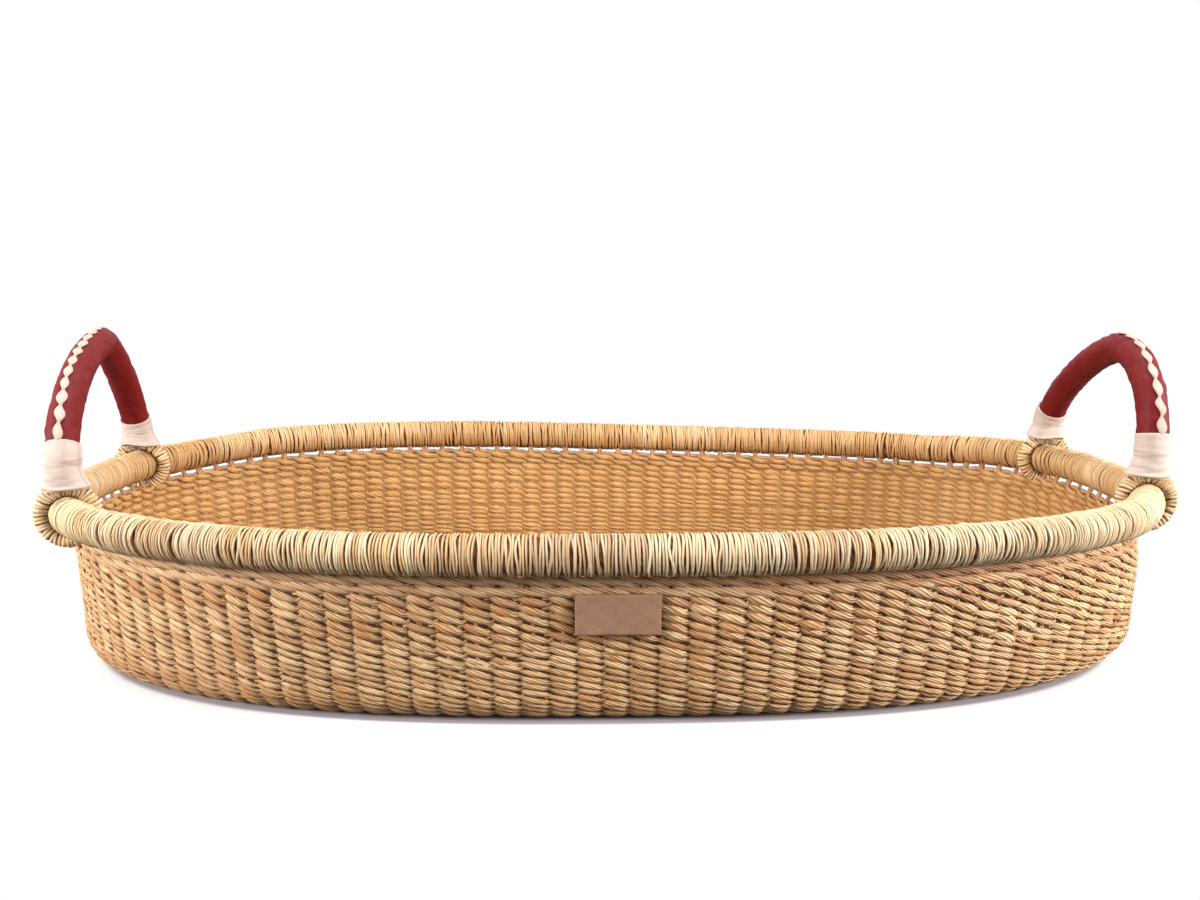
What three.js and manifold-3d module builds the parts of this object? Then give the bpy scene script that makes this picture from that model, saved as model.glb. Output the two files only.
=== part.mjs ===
// Shallow oval basket in twined grass with two leather covered handles that swing on the rim.
// Millimetres, +Z up, X along the length. The origin is on the floor under the middle of the oval.

import * as THREE from "three";
import { mergeVertices } from "three/addons/utils/BufferGeometryUtils.js";
import Module from "manifold-3d";

const wasm = await Module();
wasm.setup();

// Fits
const seatGap = 0.3;
const loopClearance = 0.5;

// Rim: a round bundle of grass, bound with grass, on an oval centreline
const rimHalfLength = 394;
const rimHalfWidth = 237;
const ovalPower = 2.53;
const rimHeight = 111.7;
const rimRadius = 12;
const bindingThickness = 2.4;
const bindingOpeningStart = 6;
const bindingOpeningEnd = 46;

// Wall and floor: grass twined over stakes
const stakeCount = 124;
const stakeWidth = 5;
const stakeThickness = 4;
const stakeTipInset = 3.5;
const wallThickness = 5.5;
const wallInset = 5;
const leanAtEnds = 2;
const leanAtSides = 10;
const cornerRadius = 21;
const floorThickness = 6;
const ribDepth = 1.2;
const floorSpine = 0.45;
const floorJoinShare = 0.42;
const floorFlatShare = 0.94;
const floorRibEnd = 0.9;
const borderHeight = 11;
const openRowHeight = 4.2;

// Foot loops: each end of a handle is bent round the rim and bound
const loopRadius = 19;
const loopRibRadius = 4.4;
const loopGrooveRadius = 3.9;
const loopRibCount = 16;
const neckHeight = 30;
const neckHalfWidth = 9.5;
const neckHalfDepth = 3.4;
const neckTaper = 0.5;
const neckSeat = 0.6;

// Handles: a grass core, a red leather cover, a lace of lozenges and a leather cuff on each leg
const coreRadius = 8.4;
const gripRadius = 11;
const cuffBottom = 18;
const cuffRise = 17;
const cuffWall = 1;
const cuffFlare = 15.5;
const lowCuffBottom = 17;
const lowCuffRise = 11;
const lowCuffFlare = 16.5;
const cuffDepth = 10.8;
const cuffShoulder = 0.6;
const laceWidth = 6.5;
const laceWaist = 3;
const laceThickness = 1.6;
const lacePitch = 12.5;
const laceBevel = 1.2;
const leftTop = 229.6;
const leftApexShift = 28;
const leftFrontPower = 1.72;
const leftRearPower = 1.35;
const leftLean = 3;
const rightTop = 226;
const rightApexShift = -25;
const rightFrontPower = 2.03;
const rightRearPower = 1.45;
const rightLean = 3;

// Each foot stands in a gap between stakes, counted along the rim from that end of the oval. The cuff
// on the left rear foot sits lower than the others.
const cuff = { bottom: cuffBottom, rise: cuffRise, flare: cuffFlare };
const lowCuff = { bottom: lowCuffBottom, rise: lowCuffRise, flare: lowCuffFlare };
const handles = [
  {
    name: "left",
    side: -1,
    frontGap: 7.5,
    rearGap: 4.5,
    top: leftTop,
    apexShift: leftApexShift,
    frontPower: leftFrontPower,
    rearPower: leftRearPower,
    lean: leftLean,
    cuffs: [cuff, lowCuff],
  },
  {
    name: "right",
    side: 1,
    frontGap: 5.5,
    rearGap: 5.5,
    top: rightTop,
    apexShift: rightApexShift,
    frontPower: rightFrontPower,
    rearPower: rightRearPower,
    lean: rightLean,
    cuffs: [cuff, cuff],
  },
];

// Bare leather patch on the front
const labelWidth = 51;
const labelHeight = 26.5;
const labelThickness = 1.6;
const labelCorner = 1.5;
const labelDrop = 9;

// Facets
const ovalSteps = 88;
const cornerSteps = 3;
const innerCornerSteps = 2;
const bindingOuterSteps = 8;
const bindingInnerSteps = 5;
const rimCoreSides = 5;
const archSteps = 18;
const gripSides = 10;
const cuffSides = 12;
const loopSides = 6;
const labelCornerSteps = 2;

// Derived sizes
const borderTop = rimHeight - rimRadius - openRowHeight;
const labelTop = borderTop - labelDrop;
const wallTop = borderTop - borderHeight - seatGap;
const bindingInner = rimRadius - bindingThickness;
const bindingEnd = 360 + bindingOpeningStart;
const archBase = neckHeight + seatGap;
const laceSeat = gripRadius + seatGap;
const xAxis = new THREE.Vector3(1, 0, 0);
const degrees = Math.PI / 180;

// The rim's centreline, measured off by distance along it

function polarPoint(angle, halfLength, halfWidth, power) {
  const across = Math.abs(Math.cos(angle) / halfLength) ** power;
  const along = Math.abs(Math.sin(angle) / halfWidth) ** power;
  const radius = (across + along) ** (-1 / power);
  return new THREE.Vector3(radius * Math.cos(angle), radius * Math.sin(angle), 0);
}

class Oval extends THREE.Curve {
  getPoint(t) {
    return polarPoint(t * 2 * Math.PI, rimHalfLength, rimHalfWidth, ovalPower);
  }
}

const oval = new Oval();
oval.arcLengthDivisions = 4000;
const rimLength = oval.getLength();
const stakePitch = rimLength / stakeCount;

// A place on the oval: its point, the level direction out of the basket, and the wall's lean there
function station(distance) {
  const share = (((distance / rimLength) % 1) + 1) % 1;
  const point = oval.getPointAt(share);
  const out = new THREE.Vector3(
    Math.sign(point.x) * Math.abs(point.x / rimHalfLength) ** (ovalPower - 1) / rimHalfLength,
    Math.sign(point.y) * Math.abs(point.y / rimHalfWidth) ** (ovalPower - 1) / rimHalfWidth,
    0,
  ).normalize();
  const lean = leanAtEnds * out.x ** 2 + leanAtSides * out.y ** 2;
  return { point, out, lean };
}

function stationsRound(steps) {
  return Array.from({ length: steps }, (_, i) => station((i * rimLength) / steps));
}

// A point beside the centreline at a place: inset into the basket, at a height above the floor
function besideRim(place, inset, height) {
  return place.point.clone().addScaledVector(place.out, -inset).setZ(height);
}

// Solids from rings of points

function geometryFrom(points, index) {
  const positions = points.flatMap((p) => [p.x, p.y, p.z]);
  return new THREE.BufferGeometry()
    .setAttribute("position", new THREE.Float32BufferAttribute(positions, 3))
    .setIndex(index);
}

// A skin over rings of equal count. Joined, the last ring meets the first; otherwise both ends are closed.
function skin(rings, joined) {
  const count = rings[0].length;
  const index = [];
  const spans = joined ? rings.length : rings.length - 1;
  for (let i = 0; i < spans; i += 1) {
    const here = i * count;
    const next = ((i + 1) % rings.length) * count;
    for (let k = 0; k < count; k += 1) {
      const l = (k + 1) % count;
      index.push(here + k, here + l, next + l, here + k, next + l, next + k);
    }
  }
  if (!joined) {
    const last = (rings.length - 1) * count;
    for (let k = 1; k < count - 1; k += 1) {
      index.push(0, k + 1, k, last, last + k, last + k + 1);
    }
  }
  return geometryFrom(rings.flat(), index);
}

// An oval solid whose profile is given at each place as [inset, height] pairs
function ovalSweep(profileAt, steps) {
  const rings = stationsRound(steps).map((place, i) =>
    profileAt(place, i).map(([inset, height]) => besideRim(place, inset, height)),
  );
  return skin(rings, true);
}

// The weave bulges over its stakes, at the even steps, and sinks between them, at the odd ones
function sinkAt(step) {
  return step % 2 ? ribDepth : 0;
}

// An open sleeve round a leg or arch. Each frame has a centre, an outward direction and two half sizes
// for the outer and the inner face: across the hinge line and along it.
function sleeve(frames, sides) {
  const rings = Array.from({ length: sides }, (_, i) => {
    const angle = (i * 2 * Math.PI) / sides;
    const face = (frame, [across, along]) =>
      frame.centre.clone()
        .addScaledVector(xAxis, across * Math.sin(angle))
        .addScaledVector(frame.out, along * Math.cos(angle));
    const outer = frames.map((frame) => face(frame, frame.outer));
    const inner = frames.map((frame) => face(frame, frame.inner));
    return [...outer.reverse(), ...inner];
  });
  return skin(rings, true);
}

function roundSection(centre, out, radiusAcross, radiusAlong, sides) {
  return Array.from({ length: sides }, (_, i) => {
    const angle = (i * 2 * Math.PI) / sides;
    return centre.clone()
      .addScaledVector(xAxis, radiusAcross * Math.sin(angle))
      .addScaledVector(out, radiusAlong * Math.cos(angle));
  });
}

// Cuts and joins

function toSolid(geometry) {
  const bare = geometry.clone();
  bare.deleteAttribute("normal");
  bare.deleteAttribute("uv");
  const merged = mergeVertices(bare, 1e-4);
  return new wasm.Manifold(
    new wasm.Mesh({
      numProp: 3,
      vertProperties: merged.attributes.position.array,
      triVerts: new Uint32Array(merged.index.array),
    }),
  );
}

function fromSolid(solid) {
  const mesh = solid.getMesh();
  return new THREE.BufferGeometry()
    .setAttribute("position", new THREE.BufferAttribute(mesh.vertProperties, 3))
    .setIndex(new THREE.BufferAttribute(mesh.triVerts, 1));
}

// Materials

function finish(color, roughness) {
  return new THREE.MeshStandardMaterial({ color, roughness, metalness: 0 });
}

const straw = () => finish(0xd2a878, 0.75);
const paleStraw = () => finish(0xe0c094, 0.7);
const redLeather = () => finish(0x962328, 0.5);
const creamLeather = () => finish(0xeadbd2, 0.7);
const brownLeather = () => finish(0x9b7864, 0.7);

function part(name, geometry, material) {
  const mesh = new THREE.Mesh(geometry, material);
  mesh.name = name;
  return mesh;
}

// Floor: an oval plate of weave round a flat middle. It bulges over every stake, and within the place
// where stakes join in pairs, over every pair.

function floorGeometry() {
  const places = stationsRound(2 * stakeCount);
  const count = places.length;
  const points = [];
  const index = [];
  // One face, from its edge inwards. Levels are the heights of a bulge and of a sunk place.
  const face = (bulge, sunk, add) => {
    const put = (place, share, sink) => {
      const edge = besideRim(place, wallInset + place.lean + cornerRadius + seatGap, 0);
      const x = edge.x * (1 - share * (1 - floorSpine));
      const height = bulge + (sunk - bulge) * sink;
      return points.push(new THREE.Vector3(x, edge.y * (1 - share), height)) - 1;
    };
    const inPairs = (i) => [0, 0.5, 1, 0.5][i % 4];
    const outer = places.map((place, i) => put(place, 0, i % 2));
    const join = places.map((place, i) => put(place, floorJoinShare, inPairs(i)));
    const inner = places.map((place, i) =>
      i % 2 ? null : put(place, i % 4 ? floorRibEnd : floorFlatShare, inPairs(i)),
    );
    for (let i = 0; i < count; i += 2) {
      const [here, next] = [i + 1, (i + 2) % count];
      add(outer[i], outer[here], join[here], outer[i], join[here], join[i]);
      add(outer[here], outer[next], join[next], outer[here], join[next], join[here]);
      add(join[i], join[here], inner[i], join[here], inner[next], inner[i]);
      add(join[here], join[next], inner[next]);
      if (i % 4) {
        add(inner[i - 2], inner[i], inner[next]);
        if (i > 2 && next) {
          add(inner[0], inner[i - 2], inner[next]);
        }
      }
    }
    return outer;
  };
  const top = face(floorThickness, floorThickness - ribDepth, (...corners) => index.push(...corners));
  const under = face(0, ribDepth, (...corners) => index.push(...corners.reverse()));
  for (let i = 0; i < count; i += 1) {
    const next = (i + 1) % count;
    index.push(under[i], under[next], top[next], under[i], top[next], top[i]);
  }
  return geometryFrom(points, index);
}

// Wall: turns up from the floor round a soft corner and leans out to the border

function wallProfile(place, step) {
  const sink = sinkAt(step);
  const centre = wallInset + place.lean + cornerRadius;
  const corner = (radius, steps) =>
    Array.from({ length: steps + 1 }, (_, i) => {
      const turn = (i * Math.PI) / 2 / steps;
      return [centre - radius * Math.cos(turn), cornerRadius - radius * Math.sin(turn)];
    });
  const outerArc = corner(cornerRadius - sink, cornerSteps);
  const innerArc = corner(cornerRadius - wallThickness + sink, innerCornerSteps).reverse();
  const outerTop = [wallInset + sink, wallTop];
  const innerTop = [wallInset + wallThickness - sink, wallTop];
  return [outerTop, ...outerArc, ...innerArc, innerTop];
}

// Border: the last rows of weave, with every stake standing out of them across the open row

function borderGeometry(loopSpaces) {
  const points = [];
  const index = [];
  const quad = (a, b, c, d) => index.push(a, b, c, a, c, d);
  const spans = 2 * stakeCount;
  const bottom = borderTop - borderHeight;
  const stakeInset = stakeTipInset - stakeThickness / 2;
  const tipHeight = rimHeight - bindingInner + seatGap;
  const edge = (i) => {
    const stake = Math.floor(i / 2) * stakePitch;
    return station(i % 2 ? stake + stakeWidth / 2 : stake - stakeWidth / 2);
  };
  for (let i = 0; i < spans; i += 1) {
    const place = edge(i);
    points.push(
      besideRim(place, wallInset, bottom),
      besideRim(place, wallInset + wallThickness, bottom),
      besideRim(place, wallInset + wallThickness, borderTop),
      besideRim(place, wallInset, borderTop),
      besideRim(place, stakeInset + stakeThickness, tipHeight),
      besideRim(place, stakeInset, tipHeight),
    );
  }
  for (let i = 0; i < spans; i += 1) {
    const a = i * 6;
    const b = ((i + 1) % spans) * 6;
    quad(a, a + 1, b + 1, b);
    quad(a + 1, a + 2, b + 2, b + 1);
    quad(a + 3, a, b, b + 3);
    if (i % 2) {
      quad(a + 2, a + 3, b + 3, b + 2);
    } else {
      quad(a + 2, a + 4, b + 4, b + 2);
      quad(a + 4, a + 5, b + 5, b + 4);
      quad(a + 5, a + 3, b + 3, b + 5);
      quad(a + 2, a + 3, a + 5, a + 4);
      quad(b + 3, b + 2, b + 4, b + 5);
    }
  }
  const solid = loopSpaces.reduce(
    (left, space) => left.subtract(space),
    toSolid(geometryFrom(points, index)),
  );
  return fromSolid(solid);
}

// Rim: the core stands on the stakes, and the binding is open where the stakes go in

function circleProfile(radius, from, to, steps) {
  return Array.from({ length: steps + 1 }, (_, i) => {
    const angle = (from + ((to - from) * i) / steps) * degrees;
    return [radius * Math.sin(angle), rimHeight - radius * Math.cos(angle)];
  });
}

function coreProfile() {
  const halfStep = (bindingEnd - bindingOpeningEnd) / bindingInnerSteps / 2;
  const radius = (bindingInner - seatGap) * Math.cos(halfStep * degrees);
  return circleProfile(radius, 0, 360 - 360 / rimCoreSides, rimCoreSides - 1);
}

function bindingProfile() {
  const outer = circleProfile(rimRadius, bindingOpeningEnd, bindingEnd, bindingOuterSteps);
  const inner = circleProfile(bindingInner, bindingEnd, bindingOpeningEnd, bindingInnerSteps);
  return [...outer, ...inner];
}

// Label: lies on the leaning front wall

function labelMesh() {
  const w = labelWidth / 2 - labelCorner;
  const h = labelHeight / 2 - labelCorner;
  const shape = new THREE.Shape()
    .absarc(w, h, labelCorner, 0, Math.PI / 2)
    .absarc(-w, h, labelCorner, Math.PI / 2, Math.PI)
    .absarc(-w, -h, labelCorner, Math.PI, 1.5 * Math.PI)
    .absarc(w, -h, labelCorner, 1.5 * Math.PI, 2 * Math.PI);
  const geometry = new THREE.ExtrudeGeometry(shape, {
    depth: labelThickness,
    bevelEnabled: false,
    curveSegments: labelCornerSteps,
  });
  const mesh = part("label", geometry, brownLeather());
  const slope = Math.atan2(leanAtSides, wallTop - cornerRadius);
  const middle = labelTop - (labelHeight / 2) * Math.cos(slope);
  const faceInset = wallInset + (wallTop - middle) * Math.tan(slope);
  const seat = seatGap / Math.cos(slope);
  mesh.rotation.x = Math.PI / 2 + slope;
  mesh.position.set(0, -(rimHalfWidth - faceInset + seat), middle);
  return mesh;
}

// Handle arch, in the plane that stands on the line through both feet

class Arch extends THREE.Curve {
  constructor(halfSpan, { top, apexShift, frontPower, rearPower }) {
    super();
    this.halfSpan = halfSpan;
    this.rise = top - rimHeight - gripRadius - archBase;
    this.apexShift = apexShift;
    this.front = [halfSpan + apexShift, frontPower];
    this.rear = [halfSpan - apexShift, rearPower];
    this.arcLengthDivisions = 800;
  }

  getPoint(t) {
    const [halfWidth, power] = t < 0.5 ? this.front : this.rear;
    const flat = polarPoint(Math.PI * t, halfWidth, this.rise, power);
    return new THREE.Vector3(0, this.apexShift - flat.x, archBase + flat.y);
  }

  // The ends stand square on the loops
  frameAt(share) {
    const centre = this.getPointAt(share);
    if (share === 0 || share === 1) {
      return { centre, out: new THREE.Vector3(0, 2 * share - 1, 0) };
    }
    const along = this.getTangentAt(share).setX(0).normalize();
    return { centre, out: new THREE.Vector3().crossVectors(xAxis, along) };
  }

  // The shares of the length at which the cuffs end
  cuffEnds([front, rear], gap) {
    const length = this.getLength();
    return [(front.rise + gap) / length, 1 - (rear.rise + gap) / length];
  }

  // Frames from foot to foot, the cuffs' own frames among them
  frames(cuffs) {
    const [from, to] = this.cuffEnds(cuffs, 0);
    const between = archSteps - 4;
    const shares = Array.from({ length: between + 1 }, (_, i) => from + ((to - from) * i) / between);
    return [0, from / 2, ...shares, (1 + to) / 2, 1].map((share) => this.frameAt(share));
  }
}

function coreGeometry(arch, cuffs) {
  const rings = arch.frames(cuffs).map((frame) =>
    roundSection(frame.centre, frame.out, coreRadius, coreRadius, gripSides),
  );
  return skin(rings, false);
}

function gripGeometry(arch, cuffs) {
  const inner = coreRadius + seatGap;
  const frames = arch.frames(cuffs).map((frame) => ({
    ...frame,
    outer: [gripRadius, gripRadius],
    inner: [inner, inner],
  }));
  return sleeve(frames, gripSides);
}

// The lace swells and narrows along the back of the grip, from one cuff to the other
function laceGeometry(arch, cuffs) {
  const [from, to] = arch.cuffEnds(cuffs, seatGap);
  const widths = [laceWaist, laceWidth, laceWidth];
  const count = widths.length * Math.round(((to - from) * arch.getLength()) / lacePitch);
  const rings = Array.from({ length: count + 1 }, (_, i) => {
    const frame = arch.frameAt(from + ((to - from) * i) / count);
    const half = widths[i % widths.length] / 2;
    const top = half - Math.min(laceBevel, half / 2);
    const corner = (across, height) =>
      frame.centre.clone().addScaledVector(xAxis, across).addScaledVector(frame.out, height);
    return [
      corner(-half, laceSeat),
      corner(-top, laceSeat + laceThickness),
      corner(top, laceSeat + laceThickness),
      corner(half, laceSeat),
    ];
  });
  return skin(rings, false);
}

// A cuff widens from the grip down over the shoulders of the foot loop
function cuffGeometry(arch, { bottom, rise, flare }, end) {
  const length = arch.getLength();
  const fit = (gripRadius + seatGap) / Math.cos(Math.PI / cuffSides);
  const foot = end * arch.halfSpan;
  const leg = (height, across, along) => ({
    centre: new THREE.Vector3(0, foot, height),
    out: new THREE.Vector3(0, end, 0),
    inner: [across, along],
  });
  const bend = (distance) => {
    const share = end < 0 ? distance / length : 1 - distance / length;
    return { ...arch.frameAt(share), inner: [fit, fit] };
  };
  const frames = [
    leg(bottom, flare, cuffDepth),
    leg((bottom + neckHeight) / 2, (flare + fit) / 2 - cuffShoulder, fit),
    leg(archBase, fit, fit),
    bend(rise / 2),
    bend(rise),
  ].map((frame) => ({
    ...frame,
    outer: [frame.inner[0] + cuffWall, frame.inner[1] + cuffWall],
  }));
  return sleeve(end < 0 ? frames : frames.reverse(), cuffSides);
}

// A foot loop goes once round the rim, and its bound end gathers into a neck under the handle

function loopRing(ribRadius, grooveRadius) {
  const rings = Array.from({ length: 2 * loopRibCount }, (_, i) => {
    const turn = (i * Math.PI) / loopRibCount;
    const radial = new THREE.Vector3(Math.cos(turn), 0, Math.sin(turn));
    const radius = i % 2 ? grooveRadius : ribRadius;
    return Array.from({ length: loopSides }, (_, k) => {
      const angle = ((k + 0.5) * 2 * Math.PI) / loopSides;
      return radial.clone()
        .multiplyScalar(loopRadius + radius * Math.cos(angle))
        .setY(radius * Math.sin(angle));
    });
  });
  return skin(rings, true);
}

function loopGeometry() {
  const neck = [
    [loopRadius - neckSeat, neckHalfWidth, neckHalfDepth],
    [(loopRadius + neckHeight) / 2, neckHalfWidth - neckTaper, (neckHalfDepth + coreRadius) / 2],
    [neckHeight, coreRadius, coreRadius],
  ].map(([height, across, along]) =>
    roundSection(new THREE.Vector3(0, 0, height), new THREE.Vector3(0, -1, 0), across, along, cuffSides),
  );
  const ring = toSolid(loopRing(loopRibRadius, loopGrooveRadius));
  return fromSolid(ring.add(toSolid(skin(neck, false))));
}

// A handle with its feet on the rim, and the spaces that its loops need in the border

function footStation(side, gaps, rear) {
  const end = side > 0 ? 0 : rimLength / 2;
  return station(end + side * rear * gaps * stakePitch);
}

function buildHandle({ name, side, frontGap, rearGap, lean, cuffs, ...shape }) {
  const front = footStation(side, frontGap, -1).point.setZ(rimHeight);
  const rear = footStation(side, rearGap, 1).point.setZ(rimHeight);
  const span = rear.clone().sub(front);
  const halfSpan = span.length() / 2;
  const arch = new Arch(halfSpan, shape);

  const hinge = new THREE.Group();
  hinge.position.copy(front).add(rear).multiplyScalar(0.5);
  hinge.rotation.z = -Math.atan2(span.x, span.y);
  const swing = new THREE.Group();
  swing.rotation.y = side * lean * degrees;
  hinge.add(swing);

  swing.add(part(`handle_core_${name}`, coreGeometry(arch, cuffs), straw()));
  swing.add(part(`grip_leather_${name}`, gripGeometry(arch, cuffs), redLeather()));
  swing.add(part(`grip_lace_${name}`, laceGeometry(arch, cuffs), creamLeather()));
  const loopSpaces = [];
  for (const [i, [place, end]] of [["front", -1], ["rear", 1]].entries()) {
    swing.add(part(`cuff_${name}_${place}`, cuffGeometry(arch, cuffs[i], end), creamLeather()));
    const loop = part(`foot_loop_${name}_${place}`, loopGeometry(), paleStraw());
    loop.position.y = end * halfSpan;
    swing.add(loop);
    const spaceRadius = loopRibRadius + loopClearance;
    const space = new THREE.Mesh(loopRing(spaceRadius, spaceRadius));
    space.position.copy(loop.position);
    swing.add(space);
    hinge.updateMatrixWorld(true);
    loopSpaces.push(toSolid(space.geometry.clone().applyMatrix4(space.matrixWorld)));
    swing.remove(space);
  }
  return { group: hinge, loopSpaces };
}

// Assembly

const basket = new THREE.Group();
const fitted = handles.map(buildHandle);
const loopSpaces = fitted.flatMap((handle) => handle.loopSpaces);
basket.add(part("floor_weave", floorGeometry(), straw()));
basket.add(part("side_weave", ovalSweep(wallProfile, 2 * stakeCount), straw()));
basket.add(part("border_row", borderGeometry(loopSpaces), straw()));
basket.add(part("rim_core", ovalSweep(coreProfile, ovalSteps), straw()));
basket.add(part("rim_binding", ovalSweep(bindingProfile, ovalSteps), paleStraw()));
basket.add(labelMesh());
fitted.forEach((handle) => basket.add(handle.group));

export default basket;
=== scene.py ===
import math

import bpy
import numpy as np
from bpy.props import FloatProperty, FloatVectorProperty, IntProperty, PointerProperty
from mathutils import Matrix, Vector


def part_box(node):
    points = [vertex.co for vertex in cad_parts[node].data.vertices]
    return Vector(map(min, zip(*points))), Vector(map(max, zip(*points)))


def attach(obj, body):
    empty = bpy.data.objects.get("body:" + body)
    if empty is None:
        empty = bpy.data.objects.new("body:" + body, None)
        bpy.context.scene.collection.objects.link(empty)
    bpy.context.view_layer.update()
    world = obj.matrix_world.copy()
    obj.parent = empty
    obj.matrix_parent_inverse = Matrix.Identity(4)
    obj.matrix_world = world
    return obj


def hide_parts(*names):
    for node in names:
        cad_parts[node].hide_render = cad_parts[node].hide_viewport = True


bl_info = {
    "name": "Twined oval basket",
    "version": (1, 0, 0),
    "blender": (4, 5, 0),
    "location": "3D View > Sidebar > Basket",
    "description": "Twines, binds and covers an oval grass basket with two leather handles",
    "category": "Add Mesh",
}

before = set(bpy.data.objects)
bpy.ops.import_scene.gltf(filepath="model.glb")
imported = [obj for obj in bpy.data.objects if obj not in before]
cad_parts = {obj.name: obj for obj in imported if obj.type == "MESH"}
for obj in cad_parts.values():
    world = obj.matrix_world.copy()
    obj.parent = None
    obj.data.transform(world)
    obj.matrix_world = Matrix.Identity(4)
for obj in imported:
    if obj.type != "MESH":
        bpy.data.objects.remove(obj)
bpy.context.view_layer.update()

# Places shared with the frame, in metres

UP = np.array([0.0, 0.0, 1.0])
_, wall_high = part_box("side_weave")
_, border_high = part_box("border_row")
floor_low, floor_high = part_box("floor_weave")
WALL_INSET = 0.005
WALL_THICKNESS = 0.0055
WALL_TOP = wall_high.z
BORDER_TOP = 0.0956
CORNER_RADIUS = 0.021
MIDDLE_RADIUS = CORNER_RADIUS - WALL_THICKNESS / 2
CORNER_GIRTH = MIDDLE_RADIUS * math.pi / 2
WALL_RISE = WALL_TOP - CORNER_RADIUS
WALL_GIRTH = CORNER_GIRTH + WALL_TOP - CORNER_RADIUS
LEAN_AT_ENDS = 0.002
LEAN_AT_SIDES = 0.010
STAKE_TIP_INSET = 0.0035
FLOOR_HALF = (floor_high.y - floor_low.y) / 2
FLOOR_SPINE_SHARE = 0.45
LOOP_MIDDLE = 0.0175
LOOP_DEEP = 0.0044
LOOP_WIDE = 0.0040
ARCH_BASE = 0.0303


# Properties

def linear(red, green, blue):
    """A display colour, 0 to 255, as the linear colour that Blender holds."""
    def channel(value):
        value /= 255
        return value / 12.92 if value < 0.04045 else ((value + 0.055) / 1.055) ** 2.4
    return channel(red), channel(green), channel(blue)


def length(name, description, default):
    return FloatProperty(name=name, description=description, default=default, unit="LENGTH", precision=5)


def colour(name, description, *display):
    return FloatVectorProperty(
        name=name, description=description, default=linear(*display), subtype="COLOR", min=0, max=1
    )


class BasketSizes(bpy.types.PropertyGroup):
    """Sizes of the weave and the rim"""

    half_length: length(
        "Half length", "From the middle to the rim's centreline at an end", wall_high.x + WALL_INSET
    )
    half_width: length(
        "Half width", "From the middle to the rim's centreline at a side", wall_high.y + WALL_INSET
    )
    oval_power: FloatProperty(name="Oval power", description="Squareness of the oval", default=2.53)
    rim_height: length("Rim height", "Height of the rim's centreline", 0.1117)
    rim_radius: length("Rim radius", "Outer radius of the bound rim", 0.012)
    stake_count: IntProperty(name="Stakes", description="Upright stakes round the wall", default=124)
    row_pitch_top: length("Upper row pitch", "Height of a row of weave near the border", 0.0060)
    row_pitch_bottom: length("Lower row pitch", "Height of a row of weave at the corner", 0.0040)
    floor_row_pitch: length("Floor row pitch", "Width of a row of weave in the floor", 0.0048)
    binding_pitch: length("Binding pitch", "Distance from turn to turn of the rim's binding", 0.0019)


class HandleSizes(bpy.types.PropertyGroup):
    """Sizes of the handles"""

    grip_radius: length("Grip radius", "Outer radius of the wound leather", 0.0110)
    wrap_width: length("Wrap width", "Width of the leather strip that is wound on", 0.0092)
    lace_width: length("Lace width", "Widest part of a lozenge", 0.0070)
    lace_waist: length("Lace waist", "Narrowest part between lozenges", 0.0018)
    lace_pitch: length("Lace pitch", "Distance from lozenge to lozenge", 0.0125)
    loop_turns: IntProperty(name="Loop turns", description="Turns of grass round a foot loop", default=44)


class BasketColours(bpy.types.PropertyGroup):
    """Colours of the grass and the leather"""

    straw: colour("Straw", "Common colour of the twined grass", 196, 136, 82)
    straw_pale: colour("Pale straw", "Palest grass in the weave", 242, 202, 152)
    straw_rose: colour("Rose straw", "Pinkish brown grass", 182, 124, 90)
    # Painted shade and bounce light on the grass inside the basket
    straw_inside_shade: colour("Golden straw", "Sheltered grass inside the basket", 196, 148, 80)
    # The dark of flecks and streaks in the grass, and the painted shade in gaps, crossings and grooves
    straw_fleck_and_shade: colour("Gap", "Grass deep in the gaps", 66, 32, 14)
    binding: colour("Binding", "Common colour of the grass round the rim", 230, 184, 128)
    binding_pale: colour("Pale binding", "Palest grass round the rim", 250, 228, 190)
    binding_grey: colour("Grey binding", "Grey brown grass round the rim", 186, 144, 102)
    # Painted shade and bounce light on the inner and far side of the rim
    binding_inside_shade: colour("Golden binding", "Sheltered grass on the inside of the rim", 186, 134, 72)
    # Darkened as painted shade, as the bundle shows only in the gaps between turns
    core: colour("Core", "Grass bundle inside the rim", 92, 56, 30)
    red: colour("Red leather", "Dyed leather of the grips", 104, 12, 14)
    # The leather's mottling, and the painted sheen and highlights on the grips
    red_mottle_and_sheen: colour("Worn red leather", "Lifted edges of the dyed leather", 122, 24, 28)
    cream: colour("Cream leather", "Undyed leather of the cuffs and the lace", 198, 182, 172)
    cream_shade: colour("Creased cream leather", "Creases of the undyed leather", 184, 154, 134)
    brown: colour("Brown leather", "Leather of the patch", 164, 124, 98)
    white: colour("Backdrop", "Floor and background", 250, 250, 250)


# Shaders, written as expressions

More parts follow.
